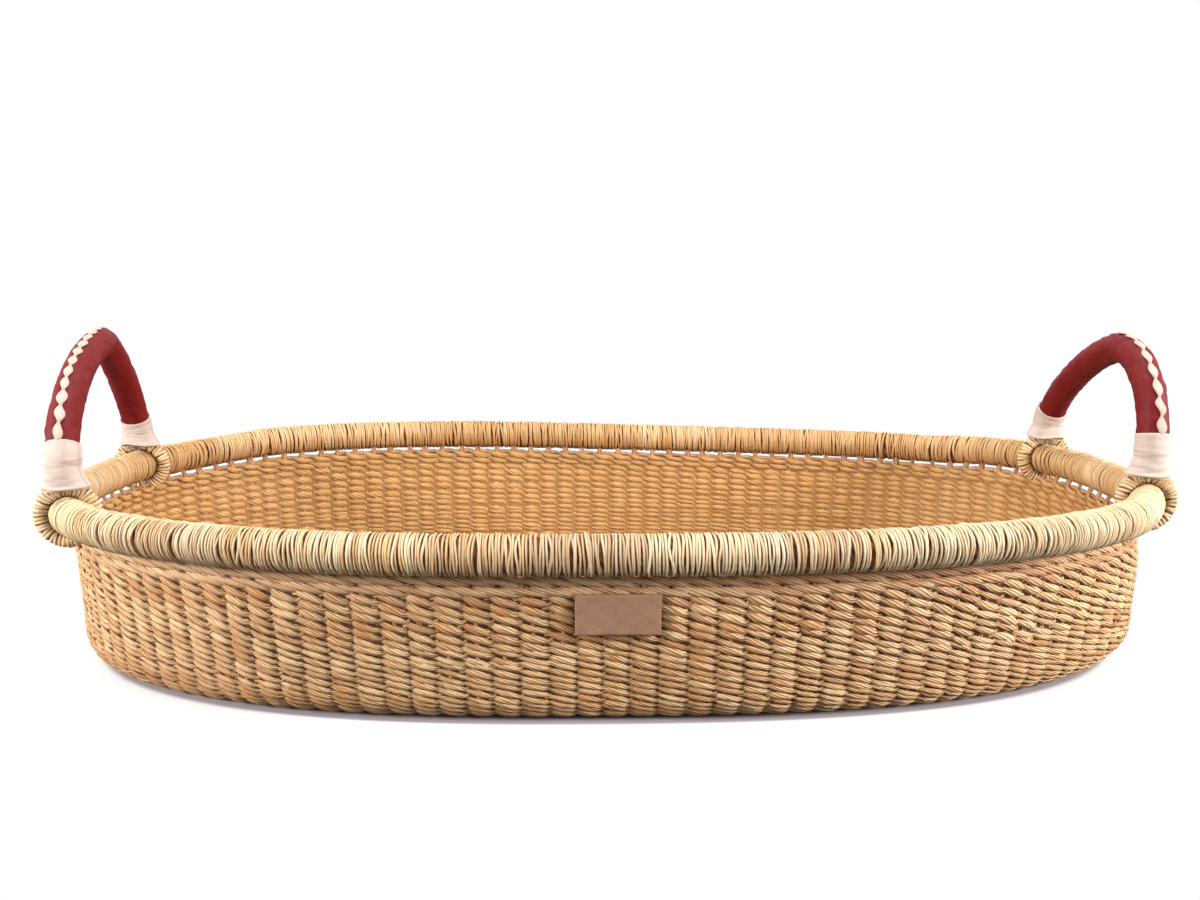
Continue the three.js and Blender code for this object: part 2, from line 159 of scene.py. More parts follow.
class Socket:
    """An output socket, on which Python's operators add Math nodes."""

    def __init__(self, paint, socket):
        self.paint = paint
        self.socket = socket

    def math(self, operation, *values, **settings):
        settings["operation"] = operation
        return self.paint.node("ShaderNodeMath", settings, dict(enumerate(values)))[0]

    def __add__(self, other):
        return self.math("ADD", self, other)

    def __radd__(self, other):
        return self.math("ADD", other, self)

    def __sub__(self, other):
        return self.math("SUBTRACT", self, other)

    def __rsub__(self, other):
        return self.math("SUBTRACT", other, self)

    def __mul__(self, other):
        return self.math("MULTIPLY", self, other)

    def __rmul__(self, other):
        return self.math("MULTIPLY", other, self)

    def __truediv__(self, other):
        return self.math("DIVIDE", self, other)

    def __pow__(self, other):
        return self.math("POWER", self, other)

    def __abs__(self):
        return self.math("ABSOLUTE", self)

    def sine(self):
        return self.math("SINE", self)

    def clamp(self):
        return self.math("ADD", self, 0.0, use_clamp=True)

    def between(self, low, high):
        """0 below low, 1 above high and smooth between them."""
        settings = {"interpolation_type": "SMOOTHSTEP"}
        return self.paint.node(
            "ShaderNodeMapRange", settings, {"Value": self, "From Min": low, "From Max": high}
        )["Result"]


class Made:
    """A node that was added, with its outputs by name or number."""

    def __init__(self, paint, node):
        self.paint = paint
        self.node = node

    def __getitem__(self, key):
        return Socket(self.paint, self.node.outputs[key])


class Paint:
    """A material, or the world, under construction."""

    def __init__(self, holder, end="ShaderNodeOutputMaterial"):
        self.holder = holder
        holder.use_nodes = True
        self.tree = holder.node_tree
        self.tree.nodes.clear()
        self.end = self.tree.nodes.new(end)

    def node(self, kind, settings=None, inputs=None):
        """Add a node of a kind, with its settings and the values or links of its sockets."""
        node = self.tree.nodes.new(kind)
        for name, value in (settings or {}).items():
            setattr(node, name, value)
        for key, value in (inputs or {}).items():
            if isinstance(value, Socket):
                self.tree.links.new(value.socket, node.inputs[key])
            else:
                node.inputs[key].default_value = value
        return Made(self, node)

    def attribute(self, name):
        return self.node("ShaderNodeAttribute", {"attribute_name": name})["Vector"]

    def place(self):
        return self.node("ShaderNodeTexCoord")["Object"]

    def parts(self, vector):
        made = self.node("ShaderNodeSeparateXYZ", None, {0: vector})
        return made[0], made[1], made[2]

    def noise(self, vector, scale, detail=2.0, roughness=0.5):
        inputs = {"Vector": vector, "Scale": scale, "Detail": detail, "Roughness": roughness}
        return self.node("ShaderNodeTexNoise", None, inputs)["Fac"]

    def fibres(self, fibre, across, along, detail, roughness=0.5):
        """Noise drawn out along a strand, with so many cells across it and to a metre of it."""
        inputs = {0: fibre, 1: (across, across, along)}
        stretched = self.node("ShaderNodeVectorMath", {"operation": "MULTIPLY"}, inputs)["Vector"]
        return self.noise(stretched, 1.0, detail, roughness)

    def mix(self, share, first, second):
        """A colour between two, where each may be a socket or a colour."""
        settings = {"data_type": "RGBA", "clamp_factor": True}
        sides = [c if isinstance(c, Socket) else (*c, 1.0) for c in (first, second)]
        return self.node("ShaderNodeMix", settings, {0: share, 6: sides[0], 7: sides[1]})[2]

    def bump(self, height, distance):
        inputs = {"Height": height, "Distance": distance, "Strength": 1.0}
        return self.node("ShaderNodeBump", None, inputs)["Normal"]

    def close(self, shader):
        self.tree.links.new(shader[0].socket, self.end.inputs[0])
        return self.holder

    def finish(self, inputs):
        return self.close(self.node("ShaderNodeBsdfPrincipled", None, inputs))


# Finishes

PLIES = 7


def grass_material(name, common, pale, odd, inner_shade_colour, gap, plied):
    """Dry grass with fine fibres along it, twisted from plies where plied is 1. It reads two marks of the
    mesh: fibre, the place on a strand, and tone, which holds the strand's paleness, its share of painted
    shade towards the gap colour and its oddness, below 0 where it takes the painted shade and bounce light
    of the inside. Crests of the plies are painted paler as a highlight and the grooves painted as shade."""
    paint = Paint(bpy.data.materials.new(name))
    fibre = paint.attribute("fibre")
    across, up, _ = paint.parts(fibre)
    ply = abs((up.math("ARCTAN2", up, across) * (PLIES / 2)).sine())
    paleness, depth, oddness = paint.parts(paint.attribute("tone"))
    streak = paint.fibres(fibre, 2.4, 60.0, 3.0, 0.6)
    thread = paint.fibres(fibre, 7.0, 60.0, 1.0)
    fleck = paint.fibres(fibre, 1.2, 260.0, 2.0)
    open_air = 1 + oddness.between(0.0, -1.0) * -0.85
    # Painted highlight on the crests of the plies
    ply_highlight = (ply - 0.64) * open_air * (0.7 * plied)
    shade = (paleness + (streak - 0.5) * 2.8 + (thread - 0.5) * 0.9 + ply_highlight).clamp()
    body = paint.mix(shade, common, pale)
    body = paint.mix((oddness * 0.75).clamp(), body, odd)
    # Painted warm shade and bounce light inside the basket
    body = paint.mix((oddness * -0.65).clamp(), body, inner_shade_colour)
    body = paint.mix(fleck.between(0.66, 0.8) * 0.35, body, gap)
    # Dark streaks of the grass, with painted shade in the grooves between plies
    streak_and_groove_shade = (streak.between(0.44, 0.3) * 0.3 + ply.between(0.4, 0.0) * (0.4 * plied)) * open_air
    # Painted shade in gaps, crossings and grooves, towards the gap colour
    body = paint.mix((depth + streak_and_groove_shade).clamp(), body, gap)
    height = streak * 0.5 + thread * 0.2 + ply * (0.5 * plied)
    return paint.finish({
        "Base Color": body,
        "Roughness": 0.62 - streak * 0.25 + depth * 0.2,
        "Specular IOR Level": 0.3,
        "Normal": paint.bump(height, 0.0011),
    })


def leather_material(name, common, second, blotches, grain_depth, roughness, sheen):
    """Thin goat leather: a fine grain, soft blotches, so many to a metre, and a second colour for mottling,
    worn edges and painted sheen, highlight and shade; creases and lap steps take painted shade towards a
    darker copy."""
    paint = Paint(bpy.data.materials.new(name))
    place = paint.place()
    second_share, crease, lot = paint.parts(paint.attribute("tone"))
    blotch = paint.noise(place, blotches, 3.0, 0.6)
    grain = paint.noise(place, 1500.0, 2.0)
    pore = paint.noise(place, 520.0, 3.0, 0.65)
    share = (second_share + (blotch - 0.5) * 0.9 + (pore - 0.5) * 0.35 + (lot - 0.5) * 0.3).clamp()
    body = paint.mix(share, common, second)
    dark = tuple(c * 0.35 for c in common)
    # Painted shade in creases and lap steps, and the patch's darker edges
    body = paint.mix(crease * 0.8, body, dark)
    return paint.finish({
        "Base Color": body,
        "Roughness": roughness + (pore - 0.5) * 0.25,
        "Specular IOR Level": 0.2,
        "Sheen Weight": sheen,
        "Sheen Roughness": 0.5,
        "Normal": paint.bump(grain * 0.45 + pore * 0.55, grain_depth),
    })


def colours(*names):
    """The colours that the properties of those names hold."""
    return [tuple(getattr(bpy.context.scene.basket_colours, name)) for name in names]


def finish(name, make, *values):
    """The material of that name, made when it is first asked for."""
    return bpy.data.materials.get(name) or make(name, *values)


def straw_finish():
    shades = colours("straw", "straw_pale", "straw_rose", "straw_inside_shade", "straw_fleck_and_shade")
    return finish("twined_straw", grass_material, *shades, 1.0)


def binding_finish():
    shades = colours("binding", "binding_pale", "binding_grey", "binding_inside_shade", "straw_fleck_and_shade")
    return finish("bound_straw", grass_material, *shades, 0.15)


def core_finish():
    shades = colours("core", "straw", "straw_fleck_and_shade", "core", "straw_fleck_and_shade")
    return finish("core_straw", grass_material, *shades, 1.0)


def red_finish():
    shades = colours("red", "red_mottle_and_sheen")
    return finish("red_leather_finish", leather_material, *shades, 60.0, 0.0004, 0.55, 0.0)


def cream_finish():
    shades = colours("cream", "cream_shade")
    return finish("cream_leather_finish", leather_material, *shades, 90.0, 0.0003, 0.75, 0.1)


def brown_finish():
    brown, = colours("brown")
    shade = tuple(c * 0.8 for c in brown)
    return finish("brown_leather_finish", leather_material, brown, shade, 260.0, 0.0006, 0.7, 0.0)


# Helpers for arrays

def unit(vectors):
    return vectors / np.maximum(np.linalg.norm(vectors, axis=-1, keepdims=True), 1e-12)


def ramp(value, low, high):
    """0 below low, 1 above high and straight between them."""
    return np.clip((value - low) / (high - low), 0, 1)


def smooth(share):
    return share * share * (3 - 2 * share)


def ease(value, low, high):
    """0 below low, 1 above high and smooth between them."""
    return smooth(ramp(value, low, high))


def hump(value, middle, spread):
    """1 at the middle, falling off to both sides."""
    return np.exp(-((value - middle) / spread) ** 2)


def together(*values):
    """Values of any like shapes as the parts of one array of vectors."""
    return np.stack(np.broadcast_arrays(*values), -1)


def circle(count):
    return np.arange(count) * 2 * math.pi / count


def smooth_noise(rng, shape, knots, count):
    """Smooth random values of unit spread along a closed line of count steps, for each row of shape."""
    value = rng.normal(size=(*shape, knots))
    place = np.arange(count) * knots / count
    base = np.floor(place).astype(int)
    share = smooth(place - base)
    return value[..., base % knots] * (1 - share) + value[..., (base + 1) % knots] * share


def blades(rng, shape, count, average):
    """Values from 0 to 1 that hold for the length of one blade of grass, about average steps."""
    flat = np.empty((int(np.prod(shape)), count))
    for row in flat:
        cuts = np.sort(rng.integers(0, count, max(2, int(count / average))))
        row[:] = rng.random(len(cuts) + 1)[np.searchsorted(cuts, np.arange(count))]
    return flat.reshape(*shape, count)


# Meshes from rings of points

def build_mesh(name, points, loops, sizes, marks, material):
    """A smooth mesh from its points, the corners of its faces in one row and each face's count of them."""
    mesh = bpy.data.meshes.new(name)
    mesh.vertices.add(len(points))
    mesh.vertices.foreach_set("co", np.ascontiguousarray(points, np.float32).ravel())
    mesh.loops.add(len(loops))
    mesh.loops.foreach_set("vertex_index", np.ascontiguousarray(loops, np.int32))
    mesh.polygons.add(len(sizes))
    starts = np.concatenate([[0], np.cumsum(sizes)[:-1]])
    mesh.polygons.foreach_set("loop_start", starts.astype(np.int32))
    mesh.update(calc_edges=True)
    mesh.shade_smooth()
    for key, values in marks.items():
        layer = mesh.attributes.new(key, "FLOAT_VECTOR", "POINT")
        layer.data.foreach_set("vector", np.ascontiguousarray(values, np.float32).ravel())
    mesh.materials.append(material)
    piece = bpy.data.objects.new(name, mesh)
    bpy.context.scene.collection.objects.link(piece)
    return piece


def tubes(name, points, closed, marks, material):
    """One piece of many tubes, from points[tube, ring, side], whose ends meet or are capped."""
    count, rings, sides, _ = points.shape
    index = np.arange(count * rings * sides).reshape(count, rings, sides)
    spans = rings if closed else rings - 1
    here = index[:, :spans]
    ahead = np.roll(index, -1, axis=1)[:, :spans]
    quads = np.stack([here, np.roll(here, -1, 2), np.roll(ahead, -1, 2), ahead], -1).reshape(-1, 4)
    loops = quads.ravel()
    sizes = np.full(len(quads), 4)
    if not closed:
        caps = np.concatenate([index[:, 0, ::-1], index[:, -1]])
        loops = np.concatenate([loops, caps.ravel()])
        sizes = np.concatenate([sizes, np.full(len(caps), sides)])
    flat = {key: np.broadcast_to(v, points.shape).reshape(-1, 3) for key, v in marks.items()}
    return build_mesh(name, points.reshape(-1, 3), loops, sizes, flat, material)


def strands(
    name, path, axes, halves, tone, material, *, sides, closed, seed, twist=90.0, under=0.0, over=0.0
):
    """Strands of grass along path[strand, step], flat ovals in section with half sizes along two axes.
    Twist turns their fibres, and under and over paint shade on the two edges across the second axis."""
    rng = np.random.default_rng(seed)
    first, second, tone = (np.broadcast_to(v, path.shape) for v in (*axes, tone))
    half_first, half_second = (np.broadcast_to(v, path.shape[:2])[:, :, None, None] for v in halves)
    step = np.roll(path, -1, 1) - np.roll(path, 1, 1)
    handed = np.einsum("sni,sni->", np.cross(first, second)[:, 1:-1], step[:, 1:-1])
    turn = circle(sides)
    if handed < 0:
        turn = turn[::-1]
    cosine = np.cos(turn)[None, None, :, None]
    sine = np.sin(turn)[None, None, :, None]
    points = (
        path[:, :, None]
        + half_first * cosine * first[:, :, None]
        + half_second * sine * second[:, :, None]
    )
    hop = np.linalg.norm(np.diff(path, axis=1), axis=2)
    along = np.concatenate([np.zeros((len(path), 1)), np.cumsum(hop, axis=1)], axis=1)
    along += rng.uniform(0, 40, (len(path), 1))
    angle = turn[None, None] + (along * twist)[:, :, None]
    fibre = together(np.cos(angle), np.sin(angle), along[:, :, None])
    # Painted shade on the lower and upper edges
    edge = np.clip(-sine, 0, 1) ** 2 * under + np.clip(sine, 0, 1) ** 2 * over
    edge = edge * np.array([0.0, 1.0, 0.0])
    return tubes(name, points, closed, {"fibre": fibre, "tone": tone[:, :, None] + edge}, material)


# The unevenness of hand work, in metres

FAR_RIM_RISE = 0.0045
RIGHT_END_SWELL = 0.0055
LEFT_END_SWELL = 0.002


def by_hand(piece):
    """Make a piece of the basket as uneven as hand work: the far side of the rim rises to the left and
    sinks to the right, and the wall swells at its ends and wavers at the foot."""
    sizes = bpy.context.scene.basket_sizes
    points = np.empty(len(piece.data.vertices) * 3, np.float32)
    piece.data.vertices.foreach_get("co", points)
    points = points.reshape(-1, 3).astype(float)
    x, y, z = points.T
    far = ease(y, 0.05, 0.2) * (1 - ease(np.abs(x), 0.3, 0.38))
    tall = ease(z, 0.03, 0.1)
    rise = -FAR_RIM_RISE * np.sin(np.clip((x + 0.02) / 0.24, -1, 1) * math.pi / 2) * far * tall
    low = ease(z, 0.0, 0.02) * (1 - ease(z, 0.06, 0.1))
    angle = np.arctan2(y / sizes.half_width, x / sizes.half_length)
    waver = 0.0012 * np.sin(9 * angle + 1.0) + 0.0008 * np.sin(17 * angle)
    ends = RIGHT_END_SWELL * ease(x, 0.3, 0.38) + LEFT_END_SWELL * ease(-x, 0.3, 0.38)
    points[:, 0] += low * (ends + waver * np.cos(angle))
    points[:, 1] += low * waver * np.sin(angle)
    points[:, 2] += rise
    piece.data.vertices.foreach_set("co", points.astype(np.float32).ravel())
    piece.data.update()


def settle(piece, body, slot, *nodes):
    """Put a finished piece on its body and in the place of its nodes, which it hides. Pieces of the
    basket, all but the brown leather, are made uneven first.
    """
    if body == "basket" and slot != "brown_leather":
        by_hand(piece)
    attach(piece, body)
    if nodes:
        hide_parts(*nodes)


# The oval and the surfaces of the weave

class Oval:
    """The rim's centreline from above, measured off by distance along it."""

    SAMPLES = 8000

    def __init__(self):
        sizes = bpy.context.scene.basket_sizes
        self.half = np.array([sizes.half_length, sizes.half_width])
        self.power = sizes.oval_power
        self.angle = np.linspace(0, 2 * math.pi, self.SAMPLES + 1)
        points = self.at_angle(self.angle)
        hops = np.linalg.norm(np.diff(points, axis=0), axis=1)
        self.travelled = np.concatenate([[0], np.cumsum(hops)])
        self.length = self.travelled[-1]
        self.stake_pitch = self.length / sizes.stake_count

    def at_angle(self, angle):
        ray = np.stack([np.cos(angle), np.sin(angle)], -1)
        radius = (np.abs(ray / self.half) ** self.power).sum(-1) ** (-1 / self.power)
        return ray * radius[..., None]

    def station(self, distance):
        """The point, the level way out of the basket and the wall's lean at a distance."""
        angle = np.interp(np.mod(distance, self.length), self.travelled, self.angle)
        point = self.at_angle(angle)
        out = unit(np.sign(point) * np.abs(point / self.half) ** (self.power - 1) / self.half)
        lean = LEAN_AT_ENDS * out[..., 0] ** 2 + LEAN_AT_SIDES * out[..., 1] ** 2
        level = np.zeros((*point.shape[:-1], 1))
        return np.concatenate([point, level], -1), np.concatenate([out, level], -1), lean

    def wall(self, distance, rise):
        """The middle of the wall, the way out of it and the way up it. Rise is measured from the edge of
        the floor round the corner and up."""
        point, out, lean = self.station(distance)
        turn = np.clip(rise / MIDDLE_RADIUS, 0, math.pi / 2)
        above = np.maximum(rise - CORNER_GIRTH, 0)
        climb = np.minimum(above, WALL_RISE)
        slope = lean / WALL_RISE
        inset = WALL_INSET + lean + CORNER_RADIUS - MIDDLE_RADIUS * np.sin(turn) - climb * slope
        height = CORNER_RADIUS - MIDDLE_RADIUS * np.cos(turn) + above
        centre = point - inset[..., None] * out + height[..., None] * UP
        leaning = np.where(climb < WALL_RISE, np.arctan(slope), 0)
        tilt = np.where(above > 0, leaning, math.pi / 2 - turn)[..., None]
        normal = np.cos(tilt) * out - np.sin(tilt) * UP
        upward = np.sin(tilt) * out + np.cos(tilt) * UP
        return centre, normal, upward

    def floor(self, distance, share):
        """The middle of the floor, the way down and the way outwards, from the edge at share 0 to the
        middle line at share 1."""
        point, out, lean = self.station(distance)
        inset = WALL_INSET + lean + CORNER_RADIUS
        edge = point - inset[..., None] * out
        spine = edge * np.array([FLOOR_SPINE_SHARE, 0.0, 0.0])
        centre = edge + share[..., None] * (spine - edge) + UP * floor_high.z / 2
        return centre, np.broadcast_to(-UP, centre.shape), unit(edge - spine)


# Weave

WALL_STEPS = 6
FLOOR_STEPS = 5
FLOOR_OUTER_SHARE = 0.36
ROW_WAVE = 0.0018
WEB_BELOW_BORDER = 0.0045
STAKE_HALF_WIDTH = 0.0031
STAKE_HALF_THICKNESS = 0.0012

# Looks of a row of weave, in metres, radians and shares of the row's height

WALL_LOOK = {
    "strands": 2,  # that cross in a row
    "drop": 0.50,  # share that a strand passes above and below the row's middle
    "waver": 0.0005,  # that a row strays up and down in short stretches
    "wave": 0.0,  # that each row strays in long ones
    "lift": 0.0,  # that a strand stands higher in front than behind
    "reach": 0.0013,  # that a strand passes in front of the stakes and behind them
    "ahead": 0.3,  # share of the reach that the whole row stands out
    "bulge": 0.0001,  # unevenness of the reach
    "tilt": 0.3,  # of a strand's section as it rises or falls
    "narrow": 0.30,  # half width of a strand where it crosses, as a share
    "wide": 0.54,  # half width of a strand in front of a stake, as a share
    "thick": 0.00118,  # half thickness of a strand in the tallest row
    "sides": 6,  # of a strand's section
    # deep is painted shade where a strand crosses, and light is painted paleness
    "deep": 0.1,  # darkness of a strand where it crosses
    "light": 0.0,  # more paleness
    "rose": 0.0,  # more of the odd colour
}
# The border's extra paleness is painted light, for rows that lie in the rim's shadow; deep is painted shade
BORDER_LOOK = {
    **WALL_LOOK, "strands": 3, "waver": 0.0002, "wide": 0.48, "reach": 0.0018, "ahead": 0.0, "deep": 0.4,
    "light": 0.2, "rose": 0.4, "lift": np.array([0.0003, 0.0011])[:, None, None],
}
FLOOR_LOOK = {
    **WALL_LOOK, "drop": 0.34, "waver": 0.0002, "reach": 0.0014, "ahead": 0.1, "wide": 0.53,
    "thick": 0.0012, "deep": 0.15, "sides": 5,
}


def stake_line(oval, stakes, steps, wander, seed):
    """Distances along the rim of each step of a row, where the stakes stand a little unevenly."""
    count = stakes * steps
    shift = smooth_noise(np.random.default_rng(seed), (), stakes, count) * wander
    return np.arange(count) * (oval.length / stakes) / steps + shift


def wall_line(oval):
    return stake_line(oval, bpy.context.scene.basket_sizes.stake_count, WALL_STEPS, 0.0009, 5)


def twine(turn):
    """How far round the row's middle a strand of a pair has gone, at a place counted in stakes. It is in
    front at 0, below at a quarter turn, behind at half a turn, and rests longest in front."""
    return math.pi * turn - 0.15 * np.sin(2 * math.pi * turn)


def wale(turn):
    """The same for a strand of three, which passes two stakes in front and one behind."""
    phase = 2 * math.pi / 3 * turn
    return phase - 0.35 * np.sin(phase)


def strand_tone(rng, look, front, down, stakes):
    """The marks of the strands: blades of grass one after another, some pale and some odd, with a painted
    highlight where they fall in front, painted shade where they cross, and painted warm shade and bounce
    light inside the basket."""
    rows, ply, count = front.shape
    shape = (rows, ply)
    steps = count // stakes
    inside = np.clip(-2 * front, 0, 1)
    pale = 0.2 + look["light"] + blades(rng, shape, count, 3 * steps) * 0.35
    pale = pale + 0.2 * smooth_noise(rng, shape, stakes, count)
    band = smooth_noise(rng, (max(2, rows // 3),), stakes // 9, count)
    pale = pale + 0.16 * band[np.minimum(np.arange(rows) // 3, len(band) - 1)][:, None]
    pale = np.where(blades(rng, shape, count, 1.2 * steps) > 0.97, 1.3, pale)
    # Painted highlight on the falling tips of the strokes in front
    pale = pale + 0.35 * np.clip(2.2 * front * down, 0, 1) * (front > 0)
    # Painted shade inside the basket, paler where a strand lies nearest
    pale = pale + (0.3 - pale + 1.4 * (np.abs(front) - 0.75)) * 0.8 * inside
    # Painted shade where strands cross
    deep = look["deep"] * np.clip(1 - 2.2 * np.abs(front), 0, 1)
    odd = np.clip(blades(rng, shape, count, 8 * steps) * 2.6 - 1.9, 0, 1)
    odd = np.clip(odd + 0.22 * smooth_noise(rng, (rows, 1), stakes // 10, count), 0, 1)
    # Painted warm shade and bounce light on the inside
    odd = (0.65 * odd + look["rose"]) * (1 - inside) - inside
    return together(np.clip(pale, 0, 1), np.clip(deep, 0, 1), odd)


def twined_rows(name, surface, levels, pitches, stakes, line, look, seed):
    """Rows of strands that cross between stakes. surface(distance, level) gives a place, its normal and
    the way up."""
    rng = np.random.default_rng(seed)
    rows, ply, count = len(levels), look["strands"], len(line)

    def uneven(knots=stakes, shape=(rows, ply)):
        return smooth_noise(rng, shape, knots, count)

    follow = twine if ply == 2 else wale
    start = rng.integers(0, ply, (rows, 1, 1)) + np.arange(ply)[:, None]
    phase = follow(np.arange(count) / (count // stakes) + start) + 0.08 * uneven()
    front, down = np.cos(phase), np.sin(phase - 0.3 * np.sin(phase))
    inside = np.clip(-2 * front, 0, 1)
    pitch = pitches[:, None, None]
    level = levels[:, None, None] + look["wave"] + look["lift"] * front
    level = level + uneven(stakes // 5, (rows, 1)) * look["waver"]
    drop = pitch * look["drop"] * (1 + 0.15 * uneven()) * (1 - 0.7 * inside)
    place = level - drop * down
    centre, normal, upward = surface(np.broadcast_to(line, place.shape), place)
    proud = look["reach"] * (front + look["ahead"] + 0.3 * down * (front > 0)) + look["bulge"] * uneven()
    path = centre + proud[..., None] * normal
    path[..., 2] = np.maximum(path[..., 2], look["thick"] + 0.0001)
    tilt = (look["tilt"] * down * np.sign(front))[..., None]
    outer = np.cos(tilt) * normal - np.sin(tilt) * upward
    upper = np.sin(tilt) * normal + np.cos(tilt) * upward
    belly = np.abs(front) ** np.where(front < 0, 0.35, np.where(front * down < 0, 1.1, 0.9))
    narrow = look["narrow"] + 0.1 * inside + 0.05 * uneven(2 * stakes)
    width = pitch * (narrow + (look["wide"] - narrow) * belly) * (1 + 0.13 * uneven())
    thick = look["thick"] * (0.6 + 0.4 * pitch / pitches.max()) * (1 + 0.08 * uneven())
    tone = strand_tone(rng, look, front, down, stakes)

    def each(values):
        return values.reshape(rows * ply, count, *values.shape[3:])

    # under paints shade on each strand's lower edge
    return strands(
        name, each(path), (each(outer), each(upper)), (each(thick), each(width)), each(tone),
        straw_finish(), sides=look["sides"], closed=True, seed=seed + 1, under=0.26,
    )


def web(name, surface, length, high, around, up, half, seed):
    """The grass packed between the stakes: a thin closed band in the middle of the weave, which keeps the
    light from shining through. Its face on the normal's side is painted nearly all gap shade, and the other
    face half as much, with the warm painted shade of the inside."""
    distance = np.arange(around) * length / around
    centre, normal, _ = surface(*np.broadcast_arrays(distance[:, None], np.linspace(0.0, high, up)))
    outer = centre + half * normal
    inner = centre - half * normal
    points = np.concatenate([outer, inner[:, ::-1]], 1)
    points[..., 2] = np.maximum(points[..., 2], 0.0006)
    tone = np.zeros(points.shape)
    # Painted shade: nearly full on the outer face, half and warm on the inner face
    tone[:, :up, 1] = 0.95
    tone[:, up:, 1] = 0.45
    tone[:, up:, 2] = -1.0
    across = 1.0 + np.random.default_rng(seed).normal(0, 0.05, points.shape[:2])
    fibre = together(across, 0.3, distance[:, None])
    return tubes(name, points[None], True, {"fibre": fibre[None], "tone": tone[None]}, straw_finish())


def wall_levels():
    """The rise of each row from the floor's edge to the border, with its height. Rows near the border are
    taller than those at the corner."""
    sizes = bpy.context.scene.basket_sizes
    levels, pitches = [], []
    rise = WALL_GIRTH
    while rise > 0:
        share = ease(WALL_GIRTH - rise, 0, WALL_GIRTH - CORNER_GIRTH)
        pitch = sizes.row_pitch_top + (sizes.row_pitch_bottom - sizes.row_pitch_top) * share
        levels.append(rise - pitch / 2)
        pitches.append(pitch)
        rise -= pitch
    return np.array(levels), np.array(pitches)


def row_wave(levels, count):
    """How far rows stray from level round the basket, most at mid height."""
    share = levels / WALL_GIRTH
    swell = np.clip(4 * share * (1 - share), 0, 1) ** 0.8
    return swell[:, None, None] * smooth_noise(np.random.default_rng(71), (), 17, count) * ROW_WAVE


class BASKET_OT_wall(bpy.types.Operator):
    """Twine the wall, in an upper and a lower band of rows"""

    bl_idname = "basket.wall"
    bl_label = "Twine the wall"

    def execute(self, context):
        oval = Oval()
        stakes = context.scene.basket_sizes.stake_count
        levels, pitches = wall_levels()
        line = wall_line(oval)
        wave = row_wave(levels, len(line))
        half = len(levels) // 2
        for name, rows, seed in (
            ("wall_weave_upper", slice(0, half), 11),
            ("wall_weave_lower", slice(half, None), 12),
        ):
            look = {**WALL_LOOK, "wave": wave[rows]}
            piece = twined_rows(name, oval.wall, levels[rows], pitches[rows], stakes, line, look, seed)
            settle(piece, "basket", "straw", "side_weave")
        high = CORNER_GIRTH + BORDER_TOP - CORNER_RADIUS - WEB_BELOW_BORDER
        lining = web("wall_web", oval.wall, oval.length, high, around=372, up=26, half=0.0009, seed=13)
        settle(lining, "basket", "straw")
        return {"FINISHED"}


class BASKET_OT_border(bpy.types.Operator):
    """Twine the border's long strokes and stand the stakes through the wall into the rim"""

    bl_idname = "basket.border"
    bl_label = "Twine the border"

    def execute(self, context):
        oval = Oval()
        self.rows(oval, context.scene.basket_sizes.stake_count)
        self.stakes(oval, context.scene.basket_sizes.stake_count)
        return {"FINISHED"}

    def rows(self, oval, stakes):
        """Two rows of three strands, whose strokes go round the basket a whole number of times."""
        height = (BORDER_TOP - WALL_TOP) / 2
        levels = WALL_GIRTH + height * np.array([0.5, 1.5])
        whole = stakes - stakes % 3
        line = stake_line(oval, whole, WALL_STEPS, 0.0004, 6)
        piece = twined_rows(
            "border_weave", oval.wall, levels, np.full(2, height), whole, line, BORDER_LOOK, 22
        )
        settle(piece, "basket", "straw", "border_row")

    def stakes(self, oval, stakes):
        rng = np.random.default_rng(21)
        each = (stakes, 1)
        home = wall_line(oval)[::WALL_STEPS][:, None]
        rise = np.linspace(0.0, WALL_GIRTH + BORDER_TOP - WALL_TOP, 26)
        centre, normal, _ = oval.wall(*np.broadcast_arrays(home, rise))
        point, out, _ = oval.station(home[:, 0])
        tip = point - STAKE_TIP_INSET * out + border_high.z * UP
        path = np.concatenate([centre, tip[:, None]], 1)
        normal = np.concatenate([normal, out[:, None]], 1)
        side = np.cross(unit(np.gradient(path, axis=1)), normal)
        path[..., 2] = np.maximum(path[..., 2], STAKE_HALF_THICKNESS)
        width = STAKE_HALF_WIDTH * (1 + 0.15 * rng.normal(size=each))
        tone = together(rng.uniform(0.0, 0.4, each), 0.2, 0.3)
        piece = strands(
            "wall_stakes", path, (normal, side), (STAKE_HALF_THICKNESS, width), tone, straw_finish(),
            sides=6, closed=False, seed=23,
        )
        settle(piece, "basket", "straw", "border_row")


class BASKET_OT_floor(bpy.types.Operator):
    """Twine the floor from its edge in to the middle line"""

    bl_idname = "basket.floor"
    bl_label = "Twine the floor"

    def execute(self, context):
        oval = Oval()
        sizes = context.scene.basket_sizes
        rows = int(FLOOR_HALF / sizes.floor_row_pitch)
        share = (np.arange(rows) + 0.5) / rows
        outer = share < FLOOR_OUTER_SHARE

        def sheet(distance, level):
            return oval.floor(distance, np.clip(-level / FLOOR_HALF, 0, 0.999))

        for name, chosen, stakes, seed in (
            ("floor_weave_outer", outer, sizes.stake_count, 31),
            ("floor_weave_inner", ~outer, sizes.stake_count // 2, 32),
        ):
            line = stake_line(oval, stakes, FLOOR_STEPS, 0.0005, 5)
            levels = -share[chosen] * FLOOR_HALF
            pitches = np.full(len(levels), FLOOR_HALF / rows)
            piece = twined_rows(name, sheet, levels, pitches, stakes, line, FLOOR_LOOK, seed)
            settle(piece, "basket", "straw", "floor_weave")
        lining = web("floor_web", oval.floor, oval.length, 1.0, around=248, up=20, half=0.0011, seed=33)
        settle(lining, "basket", "straw")
        return {"FINISHED"}


# Rim

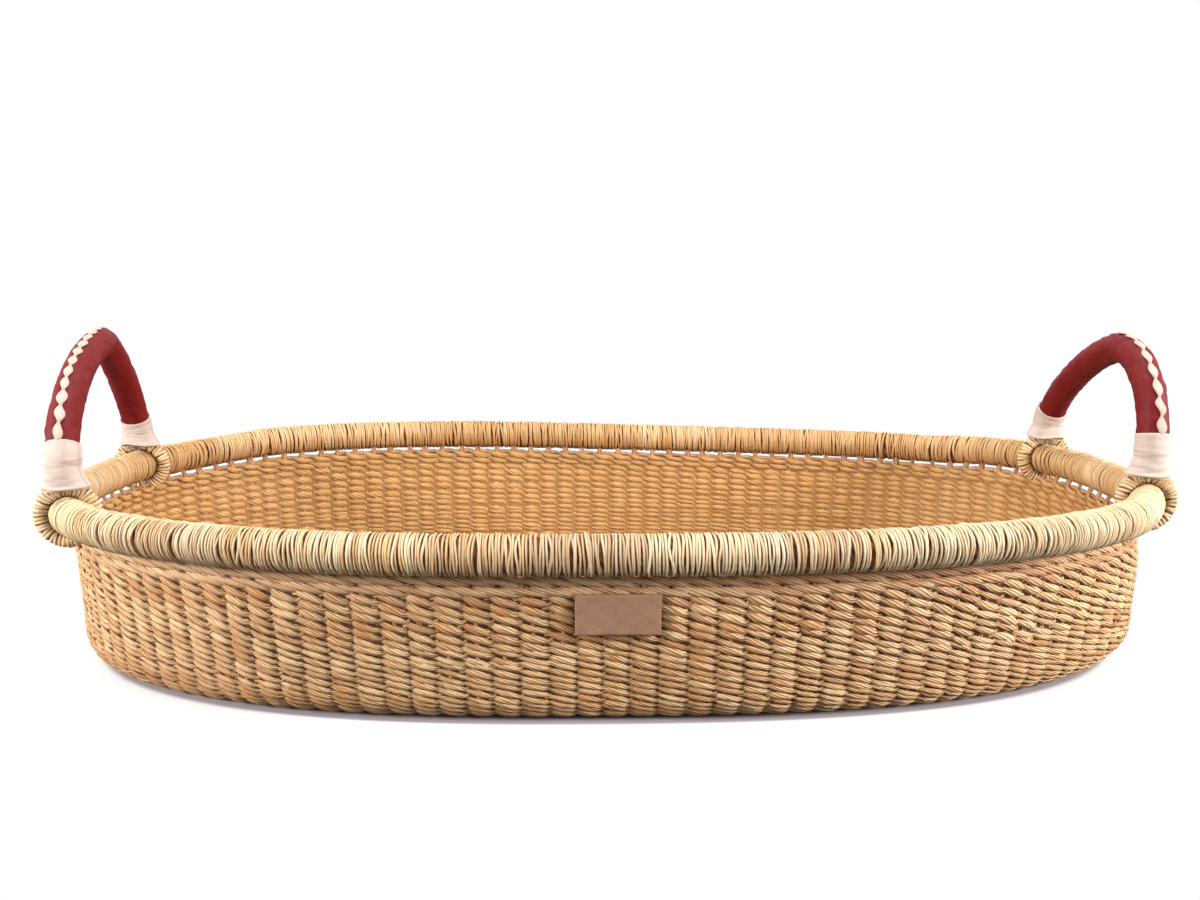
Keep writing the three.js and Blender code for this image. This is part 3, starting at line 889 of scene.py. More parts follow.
BUNDLE_STEPS = 496
BUNDLE_DROP = 0.0013
BUNDLE_LEVEL_INSET = 0.0018
BUNDLE_UPRIGHT_INSET = 0.0006
TURN_STEPS = 16
TURN_HALF_WIDTH = 0.00087
TURN_HALF_THICKNESS = 0.00095
HANDFUL_TURNS = 16
CROSSING_SHARE = 0.06
CROSSING_SLANT = 0.003
GATHER_FROM = 2.1
BELOW_FROM = 1.8


class BASKET_OT_rim(bpy.types.Operator):
    """Bind the rim: close turns of grass that gather into the holes of the open row"""

    bl_idname = "basket.rim"
    bl_label = "Bind the rim"

    def execute(self, context):
        oval = Oval()
        sizes = context.scene.basket_sizes
        self.core(oval, sizes)
        self.binding(oval, sizes)
        return {"FINISHED"}

    def core(self, oval, sizes):
        point, out, _ = oval.station(np.arange(BUNDLE_STEPS) * oval.length / BUNDLE_STEPS)
        path = (point + (sizes.rim_height - BUNDLE_DROP) * UP)[None]
        halves = (sizes.rim_radius - BUNDLE_LEVEL_INSET, sizes.rim_radius - BUNDLE_UPRIGHT_INSET)
        # The bundle takes some painted shade, as it shows only in the gaps between turns
        piece = strands(
            "rim_bundle", path, (out, UP), halves, (0.1, 0.3, 0.0), core_finish(),
            sides=20, closed=True, seed=41,
        )
        settle(piece, "basket", "straw", "rim_core")

    def binding(self, oval, sizes):
        """Turns that start and end under the rim, at swing -pi and pi, and pass over it at 0. Some cross
        their neighbours, and those on the far side are tighter. Painted light and shade: the near side is
        paler, the far side and the inner face darker and warm, and the ends that gather into the holes
        darker."""
        rng = np.random.default_rng(42)
        turns = round(oval.length / sizes.binding_pitch)
        each = (turns, 1)
        pitch = oval.length / turns
        swing = np.linspace(-math.pi, math.pi, TURN_STEPS)[None]
        gather = ramp(np.abs(swing), GATHER_FROM, math.pi) ** 1.3
        below = ease(np.abs(swing), BELOW_FROM, math.pi)
        home = (np.arange(turns) + 0.5)[:, None] * pitch + rng.normal(0, 0.00014, each)
        hole = (np.floor(home / oval.stake_pitch) + 0.5) * oval.stake_pitch
        slant = rng.normal(0, 0.0006, each) + pitch * 0.5
        crossing = rng.random(each) < CROSSING_SHARE
        slant = np.where(crossing, slant + rng.choice([-1, 1], each) * CROSSING_SLANT, slant)
        bow = rng.normal(0, 0.00035, each)
        wiggle = rng.normal(0, 0.0004, each) * np.sin(2.5 * swing + rng.uniform(0, 6.3, each))
        distance = home + slant * swing / math.pi + bow * np.cos(swing) + wiggle
        distance = distance + (hole - home) * 0.2 * gather
        point, out, _ = oval.station(distance)
        far_side = ramp(point[:, :1, 1], -0.1, 0.1)
        width = (TURN_HALF_WIDTH + 0.00015 * far_side) * (1 + 0.12 * rng.normal(size=each))
        width = width * (1 - 0.1 * gather)
        thick = TURN_HALF_THICKNESS * (1 + 0.1 * rng.normal(size=each))
        layer = np.where(crossing, 0.0005, 0) + rng.normal(0, 0.00014, each)
        patch_pale, patch_odd, patch_swell = self.patches(rng, turns)
        radius = sizes.rim_radius - 0.0010 + layer * (1 - 0.8 * below) + 0.0018 * below
        radius = radius + 0.0004 * (patch_swell - 0.5)
        ray = np.sin(swing)[..., None] * out + np.cos(swing)[..., None] * UP
        path = point + sizes.rim_height * UP + radius[..., None] * ray
        pale = patch_pale + 0.32 * rng.normal(size=each)
        # Painted light and shade: paler on the near side, darker on the far side and where turns gather into
        # holes
        pale_here = pale * (1 - 0.7 * far_side) + 0.22 * (1 - far_side) - 0.12 * gather
        odd = patch_odd + 0.16 * rng.normal(size=each)
        # Painted warm shade and bounce light on the inner face and the far side
        odd = odd - (0.4 + 0.8 * below) * (np.sin(swing) < 0) - 0.4 * far_side
        tone = together(np.clip(pale_here, 0, 1), 0.5 * gather, np.clip(odd, -1, 1))
        # under and over paint shade on the edges between turns
        piece = strands(
            "rim_binding_turns", path, (ray, unit(np.cross(UP, out))), (thick, width), tone,
            binding_finish(), sides=5, closed=False, seed=43, twist=40.0, under=0.24, over=0.24,
        )
        settle(piece, "basket", "pale_straw", "rim_binding")

    def patches(self, rng, turns):
        """Paleness, oddness and swell that neighbouring turns share, as they come from one handful of
        grass."""
        cuts = np.sort(rng.integers(0, turns, turns // HANDFUL_TURNS))
        lot = np.searchsorted(cuts, np.arange(turns))
        pale = rng.uniform(0.05, 0.9, len(cuts) + 1)
        odd = np.clip(rng.random(len(cuts) + 1) * 2.4 - 1.5, 0, 0.8)
        bounds = np.concatenate([[0], cuts, [turns]])
        share = (np.arange(turns) - bounds[lot]) / np.maximum(bounds[lot + 1] - bounds[lot], 1)
        swell = np.sin(math.pi * share) ** 0.6
        return pale[lot][:, None], odd[lot][:, None], swell[:, None]


# Handles. Gaps are from an end of the basket to the front and the rear foot, counted in stakes. Powers
# shape the front and the rear half of the arch, and each cuff has its bottom and its rise up the grip.

USUAL_CUFF = (0.0186, 0.017)
LOW_CUFF = (0.0159, 0.0105)
SHORT_CUFF = (0.0177, 0.015)
HANDLES = (
    {
        "name": "left", "side": -1, "gaps": (7.5, 4.5), "top": 0.2296, "apex_shift": 0.028,
        "powers": (1.72, 1.35), "cuffs": (USUAL_CUFF, LOW_CUFF),
    },
    {
        "name": "right", "side": 1, "gaps": (5.5, 5.5), "top": 0.226, "apex_shift": -0.025,
        "powers": (2.03, 1.45), "cuffs": (USUAL_CUFF, SHORT_CUFF),
    },
)
HANDLE_LEAN = 3
FEET = (("front", -1), ("rear", 1))


class Handle:
    """A handle's places: its feet, the plane that it stands in and the arch of its grip."""

    def __init__(self, oval, name, side, gaps, top, apex_shift, powers, cuffs):
        self.name = name
        self.side = side
        self.cuffs = cuffs
        sizes = bpy.context.scene.basket_sizes
        grip = bpy.context.scene.basket_handles
        feet = [self.foot(oval, gap, end) for gap, (_, end) in zip(gaps, FEET)]
        span = feet[1] - feet[0]
        self.half_span = np.linalg.norm(span) / 2
        middle = (feet[0] + feet[1]) / 2 + sizes.rim_height * UP
        turn = Matrix.Rotation(-math.atan2(span[0], span[1]), 4, "Z")
        tilt = Matrix.Rotation(side * math.radians(HANDLE_LEAN), 4, "Y")
        self.world = Matrix.Translation(Vector(middle)) @ turn @ tilt
        self.measure(top - sizes.rim_height - grip.grip_radius - ARCH_BASE, apex_shift, powers)

    def foot(self, oval, gap, end):
        start = 0 if self.side > 0 else oval.length / 2
        return oval.station(np.array(start + self.side * end * gap * oval.stake_pitch))[0]

    def measure(self, rise, apex_shift, powers):
        """The arch between two upright legs, by distance from the front end of the arch."""
        share = np.linspace(0, 1, 4001)
        angle = math.pi * share
        width = self.half_span + np.where(share < 0.5, apex_shift, -apex_shift)
        power = np.where(share < 0.5, *powers)
        across = np.abs(np.cos(angle) / width) ** power + np.abs(np.sin(angle) / rise) ** power
        radius = across ** (-1 / power)
        y = apex_shift - radius * np.cos(angle)
        z = ARCH_BASE + radius * np.sin(angle)
        y = np.concatenate([[-self.half_span], y, [self.half_span]])
        z = np.concatenate([[0.0], z, [0.0]])
        self.line = np.stack([np.zeros_like(y), y, z], -1)
        hops = np.linalg.norm(np.diff(self.line, axis=0), axis=1)
        self.travelled = np.concatenate([[0], np.cumsum(hops)]) - ARCH_BASE
        self.length = self.travelled[-1] - ARCH_BASE

    def at(self, distance):
        return np.stack([np.interp(distance, self.travelled, column) for column in self.line.T], -1)

    def frames(self, distance):
        """Centre, the way out of the arch and the way across it, at distances from the arch's front end."""
        reach = 0.005
        ahead, behind = self.at(distance + reach), self.at(distance - reach)
        along = unit(ahead - behind)
        across = np.broadcast_to(np.array([1.0, 0.0, 0.0]), along.shape)
        centre = (ahead + behind) / 4 + self.at(distance) / 2
        return centre, np.cross(across, along), across

    def settle(self, piece, slot, *nodes):
        piece.data.transform(self.world)
        settle(piece, self.name + "_handle", slot, *nodes)


def both_handles():
    oval = Oval()
    return [Handle(oval, **values) for values in HANDLES]


class BASKET_OT_grips(bpy.types.Operator):
    """Wind the grips with red leather, each turn lapping the last"""

    bl_idname = "basket.grips"
    bl_label = "Wind the grips"

    def execute(self, context):
        for handle in both_handles():
            self.grip(handle, context.scene.basket_handles)
        return {"FINISHED"}

    def grip(self, handle, sizes):
        rng = np.random.default_rng(51 + len(handle.name))
        sides, step = 56, 0.0009
        count = int(handle.length / step)
        distance = np.linspace(0, handle.length, count)
        centre, out, across = handle.frames(distance)
        down = distance[:, None]
        turn = circle(sides)[None]
        wind = down / sizes.wrap_width + turn / (2 * math.pi)
        lot = rng.random(200)[np.floor(wind).astype(int) + 5]
        share = wind - np.floor(wind)
        lap = np.where(share < 0.9, share / 0.9, (1 - share) / 0.1)
        apex = hump(down / handle.length, 0.5, 0.17)
        wrinkle = np.sin(down / 0.0021 * 2 * math.pi + 1.4 * np.sin(2 * turn + 0.6))
        wrinkle = wrinkle * (0.35 + 0.65 * np.sin(down / 0.011 + 2 * turn) ** 2)
        lump = smooth_noise(rng, (sides,), 40, count).T
        lump = (lump + np.roll(lump, 1, 1) + np.roll(lump, 2, 1) + np.roll(lump, -1, 1)) / 4
        inner_side = np.clip(0.5 - np.cos(turn), 0, 1.5)
        radius = sizes.grip_radius - 0.0004 + 0.0003 * lap + 0.00016 * wrinkle * apex * (0.4 + inner_side)
        radius = radius + 0.0004 * lump
        ray = np.cos(turn)[..., None] * out[:, None] + np.sin(turn)[..., None] * across[:, None]
        points = centre[:, None] + radius[..., None] * ray
        # Painted highlight on each turn's lapping edge and painted sheen on the apex's wrinkles; painted
        # shade in the step under each lap and in the wrinkles' troughs; paler on lumps, and the strip's own
        # mottling by lot
        tone = together(
            0.12 + 0.12 * hump(share, 0.9, 0.045) + (0.2 + 0.3 * wrinkle) * apex + 0.1 * lump,
            0.4 * hump(share, 0.985, 0.02) + 0.2 * np.clip(-wrinkle * apex, 0, 1),
            lot,
        )
        tone = np.clip(tone, 0, 1)
        piece = tubes(
            "grip_wrap_" + handle.name, points[None, :, ::-1], False, {"tone": tone[None, :, ::-1]},
            red_finish(),
        )
        handle.settle(piece, "red_leather", "grip_leather_" + handle.name)


class BASKET_OT_laces(bpy.types.Operator):
    """Lay a chain of lozenges along the back of each grip"""

    bl_idname = "basket.laces"
    bl_label = "Lace the grips"

    def execute(self, context):
        for handle in both_handles():
            self.lace(handle, context.scene.basket_handles)
        return {"FINISHED"}

    def lace(self, handle, sizes):
        rng = np.random.default_rng(61 + len(handle.name))
        tuck = 0.002
        start = handle.cuffs[0][1] - tuck
        run = handle.length - handle.cuffs[1][1] + tuck - start
        lozenges = round(run / sizes.lace_pitch)
        share = np.linspace(0, lozenges, lozenges * 14 + 1)
        centre, out, across = handle.frames(start + run * share / lozenges)
        swell = np.abs(np.sin(math.pi * share)) ** 1.15
        part = np.minimum(share.astype(int), lozenges - 1)
        size = (1 + 0.12 * rng.normal(size=lozenges))[part]
        skew = rng.normal(0.0003, 0.0003, lozenges)[part] * np.sin(2 * math.pi * share)
        drift = 0.0006 * np.sin(share * 0.8 + 1.0)
        half = (sizes.lace_waist + (sizes.lace_width - sizes.lace_waist) * swell * size) / 2
        lift = sizes.grip_radius + 0.0001 + 0.0006 * swell ** 0.6
        turn = circle(10) + 0.1
        flat = np.sign(np.cos(turn)) * np.abs(np.cos(turn)) ** 0.8
        side = half[:, None] * flat[None] + (skew + drift)[:, None]
        curl = sizes.grip_radius - np.sqrt(np.maximum(sizes.grip_radius ** 2 - side ** 2, 0))
        height = lift[:, None] + 0.00055 * np.sin(turn)[None] - 0.9 * curl
        points = centre[:, None] + side[..., None] * across[:, None] + height[..., None] * out[:, None]
        # Painted shade at the waists between lozenges, and the whole lace darkened halfway to the creased
        # shade as painted shade against its strong light
        pinch = (1 - swell)[:, None] * np.ones(len(turn))
        tone = together(0.5 + 0.3 * pinch, 0.35 * pinch ** 2, 0.4)
        piece = tubes(
            "lozenge_lace_" + handle.name, points[None], False, {"tone": tone[None]}, cream_finish()
        )
        handle.settle(piece, "cream_leather", "grip_lace_" + handle.name)


CUFF_MOUTH = {"across": 0.0144, "deep": 0.0108}
CUFF_THICKNESS = 0.0010
CUFF_CLEARANCE = 0.0002


class BASKET_OT_cuffs(bpy.types.Operator):
    """Shape the cuffs: soft sleeves that flare over the foot loops, with creases, a lap and a hem"""

    bl_idname = "basket.cuffs"
    bl_label = "Shape the cuffs"

    def execute(self, context):
        for handle in both_handles():
            for (place, end), (bottom, rise) in zip(FEET, handle.cuffs):
                self.cuff(handle, place, end, bottom, rise)
        return {"FINISHED"}

    def cuff(self, handle, place, end, bottom, rise):
        rng = np.random.default_rng(71 + len(handle.name) * 3 + end)
        sides, rows = 72, 60
        fit = bpy.context.scene.basket_handles.grip_radius - 0.0004
        share = np.linspace(0, 1, rows)[:, None]
        travel = share[:, 0] * (ARCH_BASE - bottom + rise) + bottom - ARCH_BASE
        centre, out, across = handle.frames(travel if end < 0 else handle.length - travel)
        flare = np.clip(-travel / (ARCH_BASE - bottom), 0, 1)[:, None] ** 1.2
        wide = fit + (CUFF_MOUTH["across"] - fit) * flare
        deep = fit + (CUFF_MOUTH["deep"] - fit) * flare
        turn = circle(sides)[None]
        crease = self.creases(rng, share, turn)
        lumps = self.lumps(rng, rows, sides)
        seam = math.pi / 2 * -handle.side + 0.25 * end
        from_seam = (turn - seam + math.pi) % (2 * math.pi) - math.pi
        lap = 0.0007 * np.clip(1 - from_seam / 0.9, 0, 1) * (from_seam > 0)
        hem = 0.0004 * hump(share, 0.035, 0.03)
        mouth = 0.0003 * hump(share, 1, 0.02)
        fold = 0.0002 * np.tanh((share - 0.5 - 0.03 * np.sin(turn)) / 0.012)
        bulge = 0.0003 * crease + 0.0005 * lumps + lap + hem - mouth + fold
        droop = np.maximum(0.001 * smooth_noise(rng, (), 5, sides), -0.0003) * (1 - share) ** 2
        inward = (-handle.side * 0.0012 * flare)[..., None] * across[:, None]

        def face(swell):
            return (
                centre[:, None] + inward
                + ((wide + swell) * np.sin(turn))[..., None] * across[:, None]
                + ((deep + swell) * np.cos(turn))[..., None] * out[:, None]
                + droop[..., None] * UP
            )

        points = np.concatenate([face(CUFF_THICKNESS + bulge), face(CUFF_CLEARANCE)[::-1]], 0)
        # Painted shade in the creases and on the inner face of the sleeve; darker along the seam, and paler
        # on lumps
        shade = np.clip(0.2 - 0.25 * crease + 0.1 * lumps, 0, 1)
        dark = np.clip(-crease, 0, 1) * 0.35 + 0.5 * (np.abs(from_seam) < 0.06)
        lining = np.ones((rows, sides))
        tone = together(np.concatenate([shade, lining]), np.concatenate([dark, lining * 0.6]), 0.5)
        order, mark = points.transpose(1, 0, 2), tone.transpose(1, 0, 2)
        if end > 0:
            order, mark = order[::-1], mark[::-1]
        name = f"cuff_sleeve_{handle.name}_{place}"
        piece = tubes(name, order[None], True, {"tone": mark[None]}, cream_finish())
        handle.settle(piece, "cream_leather", f"cuff_{handle.name}_{place}")

    def creases(self, rng, share, turn):
        """Six short creases round the lower half of the cuff, as depths below 0."""
        depth = np.zeros((len(share), turn.size))
        for _ in range(6):
            level = rng.uniform(0.08, 0.6)
            tilt = rng.normal(0, 0.05)
            where = rng.uniform(0, 2 * math.pi)
            reach = rng.uniform(0.5, 1.3)
            off = (share - level - tilt * np.sin(turn - where)) / rng.uniform(0.014, 0.03)
            near = hump((turn - where + math.pi) % (2 * math.pi) - math.pi, 0, reach)
            depth += -np.exp(-off ** 2) * near * rng.uniform(0.5, 1.0)
        return depth

    def lumps(self, rng, rows, sides):
        """Soft unevenness, evened out up the cuff."""
        lumps = smooth_noise(rng, (rows,), 7, sides)
        kernel = np.exp(-np.linspace(-2, 2, 13) ** 2)
        kernel = kernel / kernel.sum()
        return np.apply_along_axis(lambda column: np.convolve(column, kernel, "same"), 0, lumps)


LOOP_TURN_HALF_THICKNESS = 0.0009
COLLAR_STRANDS = 6
COLLAR_BOTTOM = 0.0168
COLLAR_PITCH = 0.00095
COLLAR_SHOULDER = 0.0158
COLLAR_HALF_DEPTH = 0.0054
COLLAR_STRAND_RADIUS = 0.0007


class BASKET_OT_loops(bpy.types.Operator):
    """Bind the foot loops that go round the rim, with a collar of strands under each cuff"""

    bl_idname = "basket.loops"
    bl_label = "Bind the foot loops"

    def execute(self, context):
        for handle in both_handles():
            for place, end in FEET:
                foot = np.array([0.0, end * handle.half_span, 0.0])
                rng = np.random.default_rng(81 + len(handle.name) * 3 + end)
                self.binding(handle, place, foot, rng)
                self.core(handle, place, foot)
                self.collar(handle, place, foot, rng)
        return {"FINISHED"}

    def binding(self, handle, place, foot, rng):
        turns = bpy.context.scene.basket_handles.loop_turns
        each = (turns, 1)
        swing = np.linspace(-math.pi, math.pi, 17)[None]
        cosine, sine = np.cos(swing)[..., None], np.sin(swing)[..., None]
        home = ((np.arange(turns) + 0.5) * 2 * math.pi / turns)[:, None] + rng.normal(0, 0.012, each)
        lean = rng.normal(0.05, 0.035, each)
        angle = home + lean * swing / math.pi + rng.normal(0, 0.02, each) * np.cos(swing)
        radial = together(np.cos(angle), 0.0, np.sin(angle))
        along = together(-np.sin(angle), 0.0, np.cos(angle))
        sideways = np.array([0.0, 1.0, 0.0])
        tube = (1 + rng.normal(0, 0.03, each))[..., None]
        ray = unit(cosine * radial / LOOP_DEEP + sine * sideways / LOOP_WIDE)
        path = (
            foot + LOOP_MIDDLE * radial + tube * LOOP_DEEP * cosine * radial
            + tube * LOOP_WIDE * sine * sideways
        )
        spread = (LOOP_MIDDLE + LOOP_DEEP * np.cos(swing)) * math.pi / turns
        width = spread * 1.02 * (1 + 0.08 * rng.normal(size=each))
        pale = np.clip(rng.normal(0.35, 0.25, each), 0, 1)
        # Painted shade on the inner face of each turn; under and over paint shade on the edges between turns
        tone = together(pale, 0.25 * (np.cos(swing) < -0.5), 0.2 * rng.random(each))
        piece = strands(
            f"loop_turns_{handle.name}_{place}", path, (ray, along), (LOOP_TURN_HALF_THICKNESS, width), tone,
            binding_finish(), sides=5, closed=False, seed=83, under=0.35, over=0.35,
        )
        handle.settle(piece, "pale_straw", f"foot_loop_{handle.name}_{place}")

    def core(self, handle, place, foot):
        around = circle(60)
        ray = together(np.cos(around), 0.0, np.sin(around))[None]
        piece = strands(
            f"loop_bundle_{handle.name}_{place}", foot + LOOP_MIDDLE * ray, (ray, (0.0, 1.0, 0.0)),
            (LOOP_DEEP, LOOP_WIDE), (0.2, 0.2, 0.2), core_finish(), sides=10, closed=True, seed=84,
        )
        handle.settle(piece, "pale_straw")

    def collar(self, handle, place, foot, rng):
        """Strands wound level round the loop's shoulders, just under the cuff."""
        each = (COLLAR_STRANDS, 1)
        turn = circle(40)[None]
        rest = COLLAR_BOTTOM + COLLAR_PITCH * np.arange(COLLAR_STRANDS)
        level = rest[:, None] + rng.normal(0, 0.0002, each)
        slant = rng.normal(0, 0.0006, each)
        wide = COLLAR_SHOULDER - 0.5 * (level - COLLAR_SHOULDER)
        deep = COLLAR_HALF_DEPTH
        path = together(wide * np.cos(turn), deep * np.sin(turn), level + slant * np.cos(turn)) + foot
        ray = unit(together(np.cos(turn) / wide, np.sin(turn) / deep, 0.0))
        halves = (COLLAR_STRAND_RADIUS, COLLAR_STRAND_RADIUS)
        piece = strands(
            f"loop_collar_{handle.name}_{place}", path, (ray, UP), halves, (0.4, 0.15, 0.1),
            binding_finish(), sides=6, closed=True, seed=85,
        )
        handle.settle(piece, "pale_straw")


class BASKET_OT_cores(bpy.types.Operator):
    """Give the hidden cores of the handles their grass"""

    bl_idname = "basket.cores"
    bl_label = "Finish the cores"

    def execute(self, context):
        for values in HANDLES:
            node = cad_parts["handle_core_" + values["name"]]
            node.data.materials.clear()
            node.data.materials.append(core_finish())
        return {"FINISHED"}


# Patch

PATCH_WIDTH = 0.051
PATCH_HEIGHT = 0.0265
PATCH_THICKNESS = 0.0016


class BASKET_OT_label(bpy.types.Operator):
    """Lay the bare leather patch on the front of the wall"""

    bl_idname = "basket.label"
    bl_label = "Lay the patch"

    def execute(self, context):
        low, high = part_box("label")
        slope = math.atan2(LEAN_AT_SIDES, WALL_RISE)
        side = np.linspace(-1, 1, 52) * PATCH_WIDTH / 2
        rise = np.linspace(-1, 1, 28) * PATCH_HEIGHT / 2
        u, v = np.meshgrid(side, rise, indexing="ij")
        edge = np.minimum(PATCH_WIDTH / 2 - np.abs(u), PATCH_HEIGHT / 2 - np.abs(v))
        round_off = 0.0004 * (1 - np.clip(edge / 0.0008, 0, 1)) ** 2
        sag = 0.00018 * np.sin(u / 0.0026 + 0.7) * np.cos(v / 0.0021)
        sag = sag + 0.00025 * np.sin(u / 0.011 + v / 0.013)
        face = PATCH_THICKNESS / 2 - round_off + sag
        back = -PATCH_THICKNESS / 2 + 0.3 * sag
        points, faces = self.slab(u, v, face, back)
        lift = 1 - np.clip(edge / 0.0009, 0, 1)
        tone = together(0.3 + 0.4 * lift, 0.25 * lift, 0.5).reshape(-1, 3)
        piece = build_mesh(
            "leather_patch", points, faces.ravel(), np.full(len(faces), 4),
            {"tone": np.concatenate([tone, tone])}, brown_finish(),
        )
        tilt = Matrix.Rotation(math.pi / 2 + slope, 4, "X")
        piece.data.transform(Matrix.Translation((low + high) / 2) @ tilt)
        settle(piece, "basket", "brown_leather", "label")
        return {"FINISHED"}

    def slab(self, u, v, face, back):
        """The points and the faces of a thin slab between two fields of heights over a grid."""
        rows, columns = u.shape
        points = np.concatenate([together(u, v, face).reshape(-1, 3), together(u, v, back).reshape(-1, 3)])
        index = np.arange(rows * columns).reshape(rows, columns)

        def quads(*corners):
            return np.stack(corners, -1).reshape(-1, 4)

        top = quads(index[:-1, :-1], index[1:, :-1], index[1:, 1:], index[:-1, 1:])
        under = top[:, ::-1] + rows * columns
        rim = np.concatenate([index[:-1, 0], index[-1, :-1], index[:0:-1, -1], index[0, :0:-1]])
        after = np.roll(rim, -1)
        sides = quads(after, rim, rim + rows * columns, after + rows * columns)
        return points, np.concatenate([top, under, sides])


# Stage, in metres, radians and watts

SENSOR_WIDTH = 36.0
FOCAL_PIXELS = 1176.8
IMAGE_PIXELS = 1200
CAMERA_PLACE = (-0.0268, -0.8999, 0.2790)
CAMERA_DOWN = 0.159
CAMERA_HEADING = 0.024
LAMP_AIM = (0.0, 0.0, 0.08)
LAMPS = (
    {"name": "lamp_top", "place": (0.1, 0.0, 1.9), "size": 1.2, "power": 31.0},
    {"name": "lamp_left", "place": (-1.6, -0.75, 0.62), "size": 0.5, "power": 42.0},
    {"name": "lamp_right", "place": (1.6, -0.7, 0.6), "size": 0.6, "power": 45.0},
    {"name": "lamp_front", "place": (0.1, -2.2, 1.2), "size": 1.4, "power": 3.0},
)
SKY = (0.96, 0.97, 1.0, 1.0)
WHITE = (1.0, 1.0, 1.0, 1.0)
FLOOR_SIZE = 12.0
FLOOR_SHADE = (0.42, 0.36, 0.38)
FLOOR_UNSEEN = (0.16, 0.16, 0.16, 1.0)
SHADOW_HALF_LENGTH = 0.384
SHADOW_HALF_WIDTH = 0.222
SHADOW_POWER = 2.5


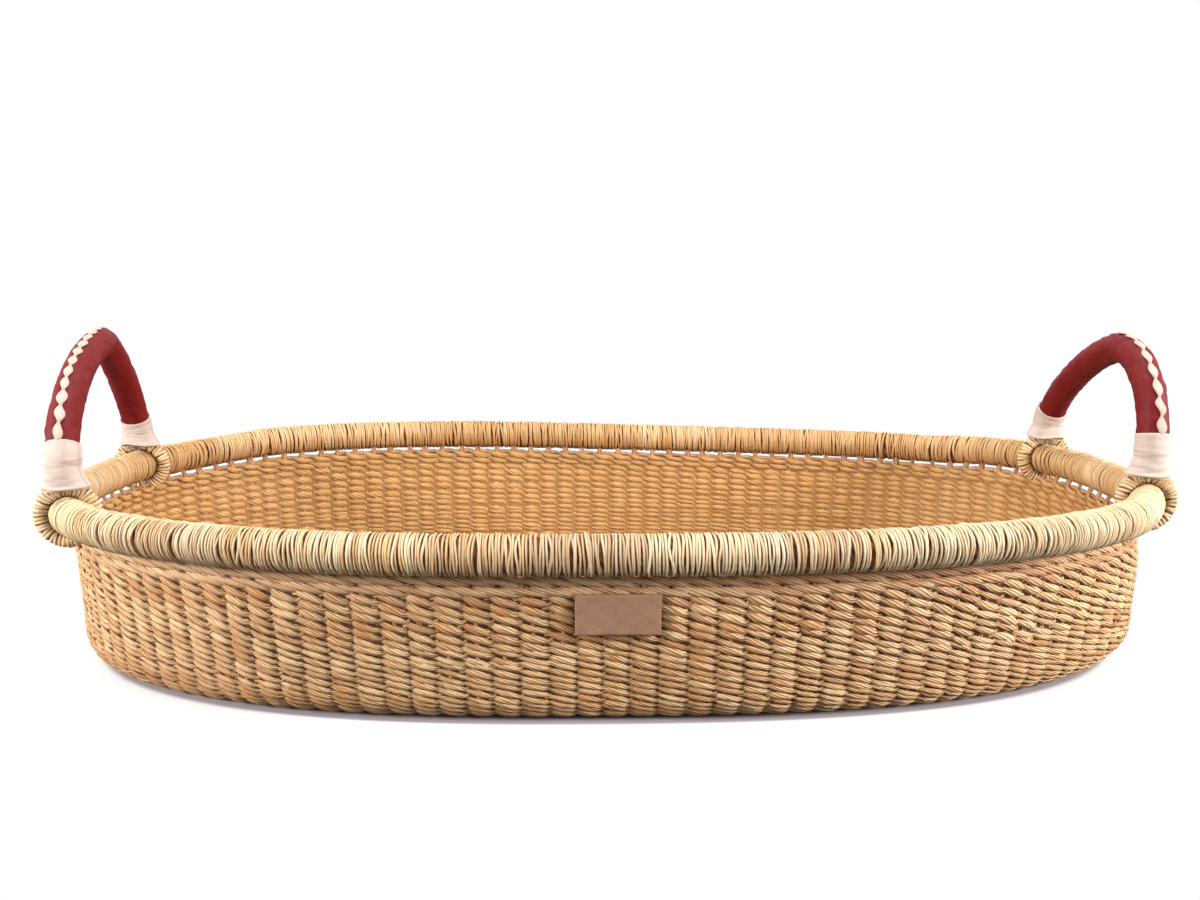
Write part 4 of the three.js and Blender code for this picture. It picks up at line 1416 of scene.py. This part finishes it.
class BASKET_OT_stage(bpy.types.Operator):
    """Set the camera, the soft lamps and the white floor"""

    bl_idname = "basket.stage"
    bl_label = "Set the stage"

    def execute(self, context):
        scene = context.scene
        scene.view_settings.view_transform = "Standard"
        self.camera(scene)
        self.world(scene)
        for values in LAMPS:
            self.lamp(scene, **values)
        self.floor(scene)
        return {"FINISHED"}

    def camera(self, scene):
        data = bpy.data.cameras.new("camera")
        data.sensor_width = SENSOR_WIDTH
        data.lens = SENSOR_WIDTH * FOCAL_PIXELS / IMAGE_PIXELS
        camera = bpy.data.objects.new("camera", data)
        camera.location = CAMERA_PLACE
        camera.rotation_euler = (math.pi / 2 - CAMERA_DOWN, 0.0, -CAMERA_HEADING)
        scene.collection.objects.link(camera)
        scene.camera = camera

    def world(self, scene):
        """Soft light all round, and pure white where it is looked at."""
        scene.world = bpy.data.worlds.new("studio")
        paint = Paint(scene.world, "ShaderNodeOutputWorld")
        rays = paint.node("ShaderNodeLightPath")
        direct = (rays["Is Camera Ray"] + rays["Is Glossy Ray"] + rays["Is Transmission Ray"]).clamp()
        light = paint.node("ShaderNodeBackground", None, {"Color": SKY, "Strength": 0.4})
        backdrop = paint.node("ShaderNodeBackground", None, {"Color": WHITE, "Strength": 1.0})
        paint.close(paint.node("ShaderNodeMixShader", None, {0: direct, 1: light[0], 2: backdrop[0]}))

    def lamp(self, scene, name, place, size, power):
        data = bpy.data.lights.new(name, "AREA")
        data.shape = "DISK"
        data.size = size
        data.energy = power
        lamp = bpy.data.objects.new(name, data)
        lamp.location = place
        lamp.rotation_euler = (Vector(LAMP_AIM) - Vector(place)).to_track_quat("-Z", "Y").to_euler()
        scene.collection.objects.link(lamp)

    def floor(self, scene):
        """A pale floor that keeps the shadow near the basket, adds a painted shadow in a narrow band round
        its foot and fades to white away from it.
        """
        mesh = bpy.data.meshes.new("floor")
        corners = [(x * FLOOR_SIZE, y * FLOOR_SIZE, 0) for x, y in ((-1, -1), (1, -1), (1, 1), (-1, 1))]
        mesh.from_pydata(corners, [], [(0, 1, 2, 3)])
        floor = bpy.data.objects.new("floor", mesh)
        scene.collection.objects.link(floor)
        paint = Paint(bpy.data.materials.new("pale_floor"))
        x, y, _ = paint.parts(paint.place())
        reach = abs(x / SHADOW_HALF_LENGTH) ** SHADOW_POWER + abs(y / SHADOW_HALF_WIDTH) ** SHADOW_POWER
        reach = reach ** (1 / SHADOW_POWER)
        # Painted shadow in a narrow band round the basket's foot
        body = paint.mix(reach.between(0.97, 0.99), FLOOR_SHADE, tuple(scene.basket_colours.white))
        lit = paint.node("ShaderNodeBsdfDiffuse", None, {"Color": body})
        glow = paint.node("ShaderNodeEmission", None, {"Color": WHITE, "Strength": 1.0})
        dull = paint.node("ShaderNodeBsdfDiffuse", None, {"Color": FLOOR_UNSEEN})
        far = reach.between(0.975, 1.02)
        near = paint.node("ShaderNodeMixShader", None, {0: far, 1: lit[0], 2: glow[0]})
        seen = paint.node("ShaderNodeLightPath")["Is Camera Ray"]
        paint.close(paint.node("ShaderNodeMixShader", None, {0: seen, 1: dull[0], 2: near[0]}))
        mesh.materials.append(paint.holder)


class BASKET_PT_panel(bpy.types.Panel):
    """The basket's pieces, in the order in which they are made"""

    bl_idname = "BASKET_PT_panel"
    bl_label = "Twined basket"
    bl_space_type = "VIEW_3D"
    bl_region_type = "UI"
    bl_category = "Basket"

    def draw(self, context):
        for operator in OPERATORS:
            self.layout.operator(operator.bl_idname)
        scene = context.scene
        for group in (scene.basket_sizes, scene.basket_handles, scene.basket_colours):
            box = self.layout.box()
            for name in group.__annotations__:
                box.prop(group, name)


GROUPS = (BasketSizes, HandleSizes, BasketColours)
OPERATORS = (
    BASKET_OT_stage,
    BASKET_OT_floor,
    BASKET_OT_wall,
    BASKET_OT_border,
    BASKET_OT_rim,
    BASKET_OT_cores,
    BASKET_OT_grips,
    BASKET_OT_laces,
    BASKET_OT_cuffs,
    BASKET_OT_loops,
    BASKET_OT_label,
)


def register():
    for cls in (*GROUPS, *OPERATORS, BASKET_PT_panel):
        bpy.utils.register_class(cls)
    bpy.types.Scene.basket_sizes = PointerProperty(type=BasketSizes)
    bpy.types.Scene.basket_handles = PointerProperty(type=HandleSizes)
    bpy.types.Scene.basket_colours = PointerProperty(type=BasketColours)


def unregister():
    del bpy.types.Scene.basket_colours
    del bpy.types.Scene.basket_handles
    del bpy.types.Scene.basket_sizes
    for cls in (BASKET_PT_panel, *reversed(OPERATORS), *reversed(GROUPS)):
        bpy.utils.unregister_class(cls)


def main():
    register()
    bpy.ops.basket.stage()
    bpy.ops.basket.floor()
    bpy.ops.basket.wall()
    bpy.ops.basket.border()
    bpy.ops.basket.rim()
    bpy.ops.basket.cores()
    bpy.ops.basket.grips()
    bpy.ops.basket.laces()
    bpy.ops.basket.cuffs()
    bpy.ops.basket.loops()
    bpy.ops.basket.label()


if __name__ == "__main__":
    main()
